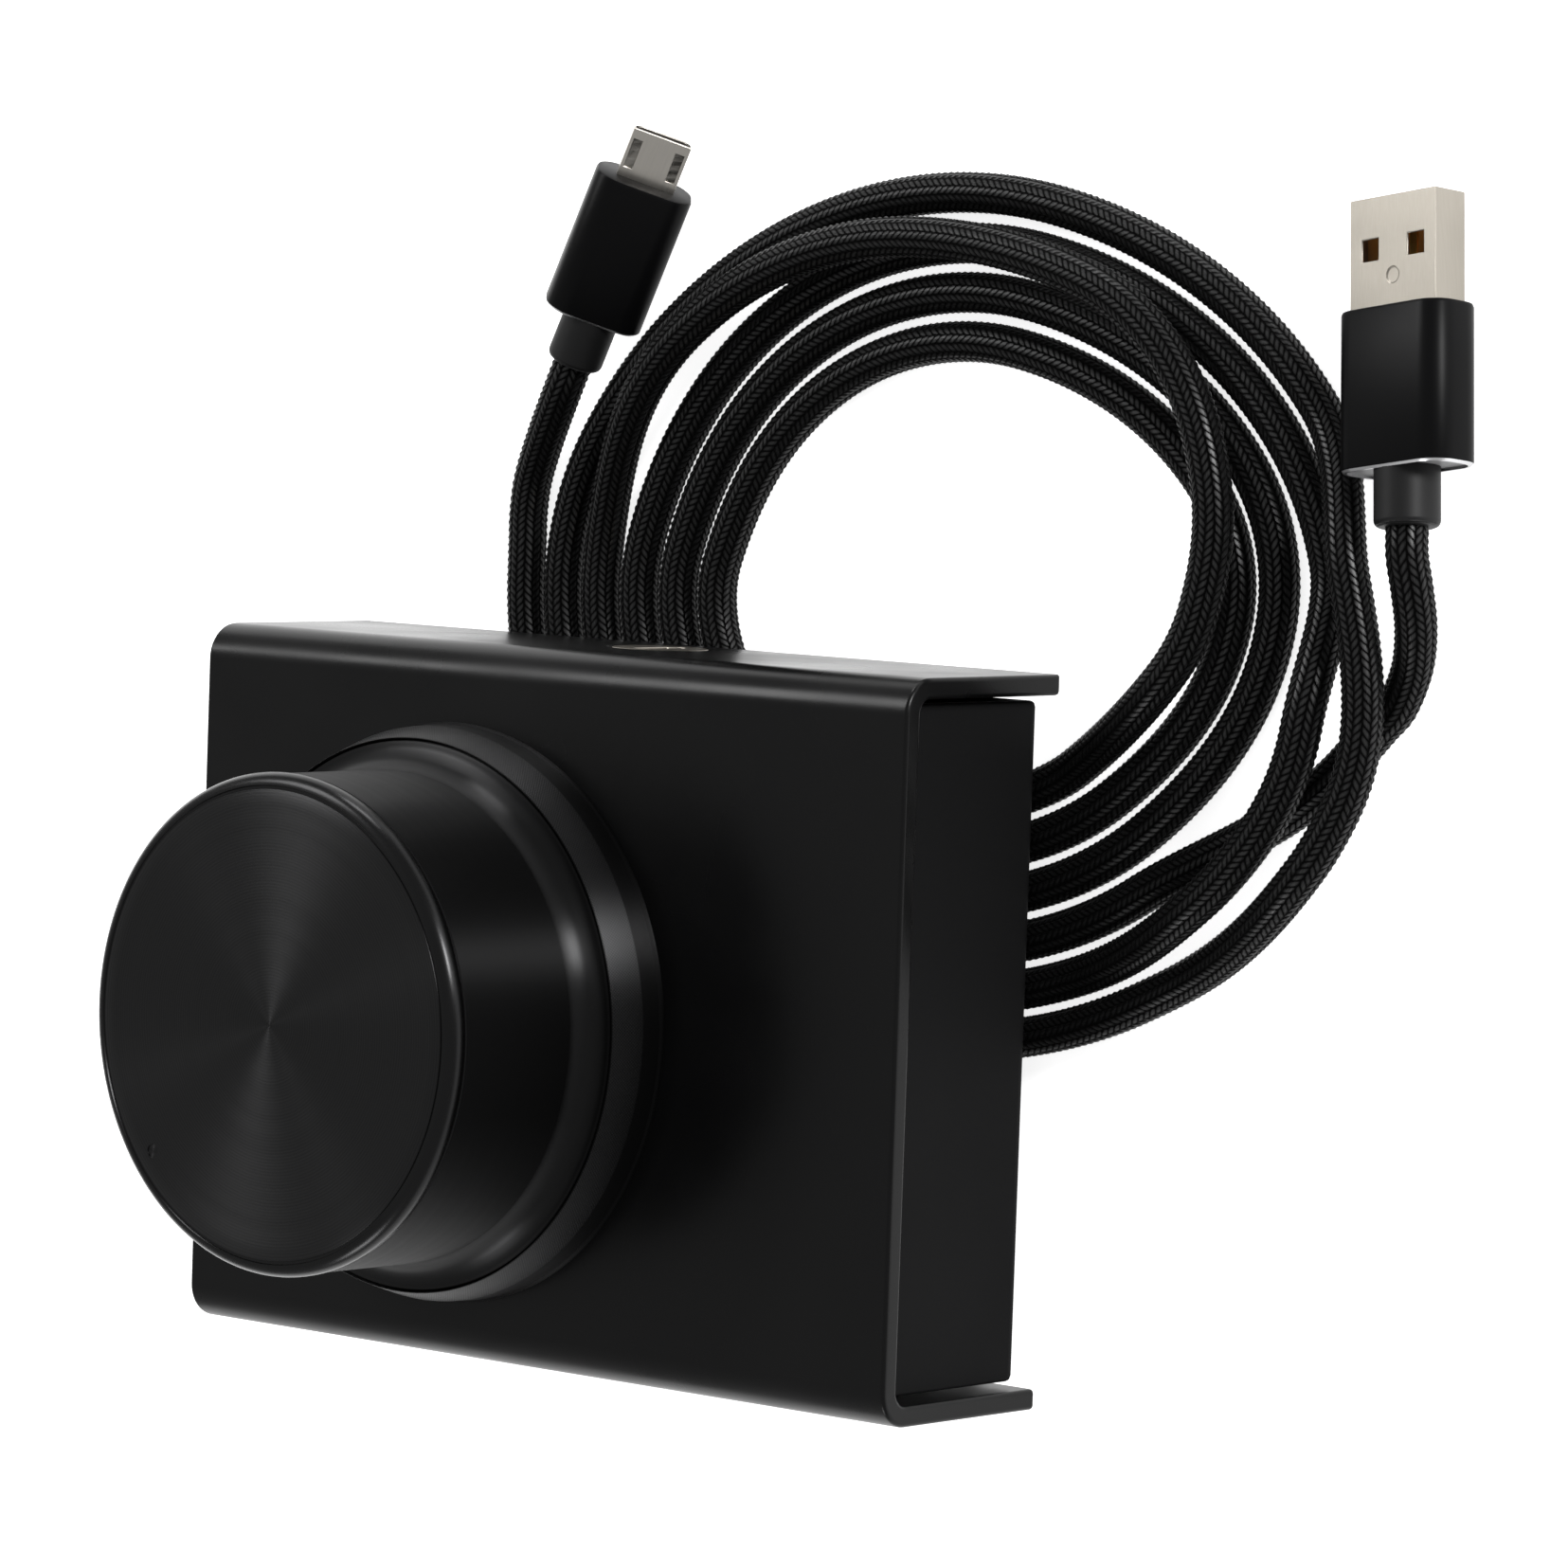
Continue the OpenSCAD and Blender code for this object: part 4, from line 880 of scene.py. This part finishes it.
class VOLDIAL_OT_cord(bpy.types.Operator):
    """Braids the cord along its route, from one plug round the coil to the other"""

    bl_idname = "voldial.cord"
    bl_label = "Cord"

    def braid_tree(self):
        """Geometry Nodes that turn a line of points into a braided tube with a UV map."""
        outputs = {"Geometry": ("Geometry", None)}
        inputs = {
            **outputs, "Radius": ("Float", CORD_D / 2 * MM), "Columns": ("Int", 12),
            "Pitch": ("Float", MM), "Relief": ("Float", 0.1 * MM), "Material": ("Material", None),
        }
        tree, nodes, given, out = new_group("Braided tube", "GeometryNodeTree", inputs, outputs)
        line = tree.add("GeometryNodeMeshToCurve", {"Mesh": given["Geometry"]})
        length = tree.add("GeometryNodeSplineParameter").outputs["Length"]
        along = tree.add("GeometryNodeCaptureAttribute", {"Geometry": line.outputs[0]}, domain="POINT")
        along.capture_items.new("FLOAT", "Along")
        tree.feed(along, {"Along": length})
        count = tree.maths("MULTIPLY_ADD", given["Columns"], 2.0, 1.0)
        loop = tree.add("GeometryNodeCurvePrimitiveLine", {"Start": (0, 0, 0), "End": (1, 0, 0)})
        loop = tree.add("GeometryNodeResampleCurve", {"Curve": loop.outputs[0], "Count": count})
        share = tree.add("GeometryNodeSplineParameter").outputs["Factor"]
        around = tree.add("GeometryNodeCaptureAttribute", {"Geometry": loop.outputs[0]}, domain="POINT")
        around.capture_items.new("FLOAT", "Around")
        tree.feed(around, {"Around": share})
        turn, run = around.outputs["Around"], along.outputs["Along"]
        angle = tree.maths("MULTIPLY", turn, 2 * math.pi)
        x = tree.maths("MULTIPLY", tree.maths("COSINE", angle), given["Radius"])
        y = tree.maths("MULTIPLY", tree.maths("SINE", angle), given["Radius"])
        point = tree.add("ShaderNodeCombineXYZ", {0: x, 1: y}).outputs[0]
        circle = around.outputs["Geometry"]
        profile = tree.add("GeometryNodeSetPosition", {"Geometry": circle, "Position": point})
        tube = tree.add("GeometryNodeCurveToMesh", {
            "Curve": along.outputs["Geometry"], "Profile Curve": profile.outputs[0],
        })
        uv = tree.add("ShaderNodeCombineXYZ", {0: turn, 1: run}).outputs[0]
        stored = tree.add("GeometryNodeStoreNamedAttribute", {
            "Geometry": tube.outputs[0], "Name": "UVMap", "Value": uv,
        }, data_type="FLOAT2", domain="CORNER")
        merged = tree.add("GeometryNodeMergeByDistance", {"Geometry": stored.outputs[0], "Distance": 2e-6})
        height, _ = braid_field(tree, turn, run, given["Columns"], given["Pitch"])
        lift = tree.maths("MULTIPLY", tree.maths("SUBTRACT", height, 1.0), given["Relief"])
        normal = tree.add("GeometryNodeInputNormal").outputs[0]
        offset = tree.add("ShaderNodeVectorMath", {0: normal, "Scale": lift}, operation="SCALE").outputs[0]
        raised = tree.add("GeometryNodeSetPosition", {"Geometry": merged.outputs[0], "Offset": offset})
        smooth = tree.add("GeometryNodeSetShadeSmooth", {"Geometry": raised.outputs[0]})
        real = tree.add("GeometryNodeRealizeInstances", {0: smooth.outputs[0]})
        finished = {"Geometry": real.outputs[0], "Material": given["Material"]}
        tree.feed(out, {"Geometry": tree.add("GeometryNodeSetMaterial", finished).outputs[0]})
        return nodes

    def execute(self, context):
        settings = context.scene.vol_cord
        route = evenly([p * MM for p in cord_route()], settings.pitch / 2)
        mesh = bpy.data.meshes.new("cord_line")
        mesh.from_pydata([tuple(p) for p in route], [(i, i + 1) for i in range(len(route) - 1)], [])
        obj = linked("cord_line", mesh)
        run_nodes(obj, self.braid_tree(), {
            "Radius": settings.diameter / 2, "Columns": settings.columns, "Pitch": settings.pitch,
            "Relief": settings.relief, "Material": MATERIALS["braid"],
        })
        cord = evaluated(obj)
        shape = bmesh.new()
        shape.from_mesh(cord.data)
        bmesh.ops.holes_fill(shape, edges=[e for e in shape.edges if e.is_boundary], sides=0)
        bmesh.ops.recalc_face_normals(shape, faces=shape.faces)
        shape.to_mesh(cord.data)
        shape.free()
        kept(cord, "braided_cord", "braid", "housing", "cord_coil", "cord_lead_small", "cord_lead_large")
        return {"FINISHED"}


class VOLDIAL_OT_box(bpy.types.Operator):
    """Rounds the edges of the folded cover and tray, and makes the feet and their screws"""

    bl_idname = "voldial.box"
    bl_label = "Folded box"

    def execute(self, context):
        edge = context.scene.vol_metal.edge
        softened("cover", "folded_cover", edge, MATERIALS["aluminium_black"], 3)
        softened("tray", "folded_tray", edge * 0.7, MATERIALS["tray_black"])
        rubber, steel = MATERIALS["rubber"], MATERIALS["black_steel"]
        foot_outline = (
            [(0, HOLLOW_DEPTH), (HOLLOW_R, HOLLOW_DEPTH), (HOLLOW_R + 0.2, 0)]
            + arc(FOOT_R - FOOT_ROUND, FOOT_ROUND, FOOT_ROUND, -90, 0, 6) + [(FOOT_R, FOOT_H), (0, FOOT_H)]
        )
        foot = turned_mesh("foot", [(foot_outline, rubber)], Vector((0, 0, 0)), 48)
        feet = placed_copies(foot, corner_places("feet", FOOT_R), "rubber_feet", rubber)
        kept(feet, "rubber_feet", "rubber", "housing", "feet")
        screw_outline = [
            (0, DRIVE_DEPTH), (DRIVE_R, DRIVE_DEPTH), (DRIVE_R, 0.08), (DRIVE_R + 0.1, 0), (HEAD_R - 0.1, 0),
            (HEAD_R, 0.06), (SHANK_R, HEAD_H), (SHANK_R, SHANK_TOP), (0, SHANK_TOP),
        ]
        screw = turned_mesh("screw", [(screw_outline, steel)], Vector((0, 0, 0)), 36)
        screws = placed_copies(screw, corner_places("tray_screws", HEAD_R), "tray_screw_heads", steel)
        kept(screws, "tray_screw_heads", "black_steel", "housing", "tray_screws")
        return {"FINISHED"}


def corner_places(node, radius):
    """Where four round pieces stand, in the corners of their CAD node's box."""
    low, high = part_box(node)
    side = radius * MM
    return [(x, y, low.z) for x in (low.x + side, high.x - side) for y in (low.y + side, high.y - side)]


class VOLDIAL_OT_dial(bpy.types.Operator):
    """Turns the dial and its base ring"""

    bl_idname = "voldial.dial"
    bl_label = "Dial"

    def execute(self, context):
        segments = context.scene.vol_dial.segments
        centre = Vector((DIAL_AXIS.x, DIAL_AXIS.y, PLATE_Z))
        finishes = ("dial_black", "dial_face", "dial_bead", "dial_lip")
        wall, face, bead, lip = (MATERIALS[key] for key in finishes)
        round_edge = 0.1
        lean = math.radians(FLARE_LEAN)
        flare = []
        for i in range(13):
            a = math.radians(90 - i * (90 - FLARE_LEAN) / 12)
            out = (SKIRT_R - WALL_R) * math.cos(a) / math.cos(lean)
            drop = (FLARE_TOP - SKIRT_TOP) * (math.sin(a) - math.sin(lean)) / (1 - math.sin(lean))
            flare.append((SKIRT_R - out - round_edge * math.sin(a), FLARE_TOP - drop))
        hollow = [
            (0, HUB_BORE_TOP), (HUB_BORE_R, HUB_BORE_TOP), (HUB_BORE_R, BOSS_LOW), (BOSS_R, BOSS_LOW),
            (BOSS_R, FACE_UNDERSIDE), (WALL_BORE_R, FACE_UNDERSIDE), (WALL_BORE_R, FLARE_TOP),
            (SKIRT_BORE_R, SKIRT_ROOF), (SKIRT_BORE_R, SKIRT_LOW),
        ]
        skirt = [
            (SKIRT_R - 0.15, SKIRT_LOW), (SKIRT_R, SKIRT_LOW + 0.15), (SKIRT_R, SKIRT_TOP - round_edge),
            (SKIRT_R - 0.03, SKIRT_TOP - 0.03), (SKIRT_R - round_edge, SKIRT_TOP),
        ]
        bead_arc = arc(BEAD_MIDDLE_R, BEAD_MIDDLE_H, BEAD_R, -32, 90, 20)
        face_rings = [(FACE_R - 0.1 - 1.5 * i, FACE_H) for i in range(1, 17)]
        bands = [
            (hollow + skirt, wall),
            (flare, lip),
            ([flare[-1], (WALL_R - 0.02, WALL_LOW - 0.4)]
             + [(WALL_R, height) for height in (WALL_LOW, WALL_MIDDLE, WALL_TOP)], wall),
            ([(WALL_R, WALL_TOP), (WALL_R - 0.18, WALL_TOP + 0.13)] + bead_arc
             + [(GROOVE_R + 0.3, GROOVE_H), (GROOVE_R, GROOVE_H)], bead),
            ([(GROOVE_R, GROOVE_H), (GROOVE_R - 0.04, FACE_H - 0.03), (FACE_R, FACE_H)] + face_rings
             + [(0, FACE_H)], face),
        ]
        dial = turned_mesh("turned_dial", bands, centre, segments)
        angle = math.radians(MARK_ANGLE)
        spot = centre + MARK_OUT * MM * Vector((math.cos(angle), math.sin(angle), 0))
        cutter_outline = [(0, MARK_FLOOR), (MARK_R, MARK_FLOOR), (MARK_R, FACE_H + 0.85), (0, FACE_H + 0.85)]
        dial = recessed(dial, turned_mesh("mark", [(cutter_outline, face)], spot, 32))
        kept(dial, "turned_dial", "dial_black", "dial", "dial_knob")
        foot = [(RING_OPEN_R, 0), (RING_R, 0), (RING_R, 0.3), (RING_R - 0.25, 0.5), BAND_LOW]
        inside = [
            BAND_TOP, (RING_BORE_R + 0.1, RING_TOP), (RING_BORE_R, RING_TOP - 0.1), (RING_BORE_R, RING_FLOOR),
            (LAND_R, RING_FLOOR), (LAND_R, LAND_H), (RING_OPEN_R, LAND_H), (RING_OPEN_R, 0),
        ]
        band = [BAND_LOW, (BAND_LOW[0] - 0.05, BAND_LOW[1] + 0.18), BAND_TOP]
        # The ring's foot and bore take the dial wall's finish, whose colour is painted darker as shade.
        ring_bands = [(foot, wall), (band, MATERIALS["ring_band"]), (inside, wall)]
        ring = turned_mesh("dial_base_ring", ring_bands, centre, segments)
        weld(ring)
        kept(ring, "dial_base_ring", "aluminium_black", "housing", "base_ring")
        return {"FINISHED"}


def recessed(obj, cutter):
    """The object with the cutter's shape taken out of it."""
    cut = obj.modifiers.new("Recess", "BOOLEAN")
    cut.operation, cut.solver, cut.object = "DIFFERENCE", "EXACT", cutter
    done = evaluated(obj)
    bpy.data.objects.remove(cutter)
    done.data.set_sharp_from_angle(angle=math.radians(TURNED_SHARP))
    return done


def weld(obj):
    """Joins the vertices of a mesh that lie on each other."""
    shape = bmesh.new()
    shape.from_mesh(obj.data)
    bmesh.ops.remove_doubles(shape, verts=shape.verts, dist=1e-6)
    bmesh.ops.recalc_face_normals(shape, faces=shape.faces)
    shape.to_mesh(obj.data)
    shape.free()


class VOLDIAL_OT_plugs(bpy.types.Operator):
    """Makes both plugs' sleeves, strain reliefs and shells"""

    bl_idname = "voldial.plugs"
    bl_label = "Plugs"

    def execute(self, context):
        # Width, thickness and corner radius of each sleeve, and its shell's finish
        kinds = {"small": ((11.4, 7, 2.8), "small_plated"), "large": ((15, 7.5, 2.8), "plated")}
        start, end = SLEEVE_START, SLEEVE_END
        bands = [
            ([(start + 1, RIM_WALL), (start, RIM_WALL), (start, RIM_INSET), (start + 0.25, 0.06)],
             MATERIALS["cut_metal"]),
            ([(start + 0.25, 0.06), (start + 0.4, 0), (end - 0.4, 0), (end - 0.1, 0.12), (end, 0.35)],
             MATERIALS["sleeve_black"]),
        ]
        for which, (section, plating) in kinds.items():
            sleeve = lofted(which + "_plug_sleeve", PLUGS[which].frame, section, bands)
            kept(sleeve, which + "_plug_sleeve", "sleeve_black", "housing", which + "_sleeve")
            softened(which + "_shell", which + "_plug_shell", 0.12 * MM, MATERIALS[plating])
            softened(which + "_collar", which + "_strain_relief", 0.3 * MM, MATERIALS["black_plastic"], 3)
        return {"FINISHED"}


class VOLDIAL_OT_socket(bpy.types.Operator):
    """Polishes the socket's bezel in the rear flange"""

    bl_idname = "voldial.socket"
    bl_label = "Socket"

    def execute(self, context):
        softened("port_bezel", "socket_bezel", 0.15 * MM, MATERIALS["plated"])
        return {"FINISHED"}


class VOLDIAL_OT_stage(bpy.types.Operator):
    """Lays the pale floor and hangs the soft lamps"""

    bl_idname = "voldial.stage"
    bl_label = "Studio"

    def lamp(self, name, direction, distance, size, radiance):
        """A soft box that shines at the object with a given radiance."""
        light = bpy.data.lights.new(name, "AREA")
        light.shape, light.size, light.size_y = "RECTANGLE", size[0], size[1]
        light.energy = radiance * math.pi * size[0] * size[1]
        obj = linked(name, light)
        away = Vector(direction).normalized()
        aim = Vector((0.01, 0.0, 0.03))
        obj.location = aim + away * distance
        obj.rotation_mode = "QUATERNION"
        obj.rotation_quaternion = (-away).to_track_quat("-Z", "Y")

    def execute(self, context):
        settings = context.scene.vol_studio
        half = settings.floor_size / 2
        mesh = bpy.data.meshes.new("studio_floor")
        corners = [(-half, -half, 0), (half, -half, 0), (half, half, 0), (-half, half, 0)]
        mesh.from_pydata(corners, [], [(0, 1, 2, 3)])
        floor = linked("studio_floor", mesh)
        material = bpy.data.materials.new("Pale floor")
        material.use_nodes = True
        tree = Tree(material.node_tree)
        tree.nodes.clear()
        path = tree.add("ShaderNodeLightPath")
        seen = tree.maths("MAXIMUM", path.outputs["Is Camera Ray"], path.outputs["Is Glossy Ray"])
        seen = tree.maths("MAXIMUM", seen, path.outputs["Is Transmission Ray"])
        tone = tree.mixed(tree.noise(8.0), (0.84, 0.84, 0.84), (0.86, 0.86, 0.86))
        matte = tree.add("ShaderNodeBsdfDiffuse", {"Color": tone}).outputs[0]
        glow = tree.add("ShaderNodeEmission", {"Color": (1, 1, 1, 1), "Strength": 0.82}).outputs[0]
        lit = tree.add("ShaderNodeAddShader", {0: matte, 1: glow}).outputs[0]
        mix = tree.add("ShaderNodeMixShader", {0: seen, 1: matte, 2: lit}).outputs[0]
        out = tree.add("ShaderNodeOutputMaterial")
        tree.links.new(mix, out.inputs["Surface"])
        mesh.materials.append(material)

        world = bpy.data.worlds.new("Studio")
        world.use_nodes = True
        context.scene.world = world
        tree = Tree(world.node_tree)
        background = next(n for n in tree.nodes if n.type == "BACKGROUND")
        background.inputs["Color"].default_value = (1, 1, 1, 1)
        background.inputs["Strength"].default_value = settings.surround

        # Each lamp's direction from the object, its distance, its size and its radiance
        self.lamp("Rear left box", (-0.58, 0.48, 0.64), 1.3, (0.55, 0.35), 11.0)
        self.lamp("Right box", (0.79, 0.45, 0.25), 1.4, (0.3, 0.3), 60.0)
        self.lamp("Rear box", (-0.18, 0.96, 0.2), 1.4, (0.4, 0.3), 14.0)
        self.lamp("Front box", (-0.2, -0.86, 0.47), 1.4, (0.4, 0.3), 12.0)
        context.scene.view_settings.view_transform = "Standard"
        return {"FINISHED"}


# ---------------------------------------------------------------- panel


class VOLDIAL_PT_panel(bpy.types.Panel):
    """Lists what builds the volume control"""

    bl_label = "Volume dial"
    bl_idname = "VOLDIAL_PT_panel"
    bl_space_type = "VIEW_3D"
    bl_region_type = "UI"
    bl_category = "Volume dial"

    def draw(self, context):
        for group_name in SETTINGS:
            settings = getattr(context.scene, group_name)
            box = self.layout.box()
            for name in settings.__annotations__:
                box.prop(settings, name)
        for operator in OPERATORS:
            self.layout.operator(operator.bl_idname)


SETTINGS = {
    "vol_camera": CameraSettings, "vol_cord": CordSettings, "vol_metal": MetalSettings,
    "vol_dial": DialSettings, "vol_studio": StudioSettings,
}
OPERATORS = (
    VOLDIAL_OT_camera, VOLDIAL_OT_materials, VOLDIAL_OT_box, VOLDIAL_OT_dial, VOLDIAL_OT_plugs,
    VOLDIAL_OT_cord, VOLDIAL_OT_socket, VOLDIAL_OT_stage,
)


def register():
    """Registers the settings, the operators and the panel."""
    for cls in (*SETTINGS.values(), *OPERATORS, VOLDIAL_PT_panel):
        bpy.utils.register_class(cls)
    for name, cls in SETTINGS.items():
        setattr(bpy.types.Scene, name, bpy.props.PointerProperty(type=cls))


def unregister():
    """Takes them away again."""
    for name in SETTINGS:
        delattr(bpy.types.Scene, name)
    for cls in reversed((*SETTINGS.values(), *OPERATORS, VOLDIAL_PT_panel)):
        bpy.utils.unregister_class(cls)


def main():
    """Builds the whole scene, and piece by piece."""
    register()
    for operator in OPERATORS:
        module, name = operator.bl_idname.split(".")
        getattr(getattr(bpy.ops, module), name)()


if __name__ == "__main__":
    main()
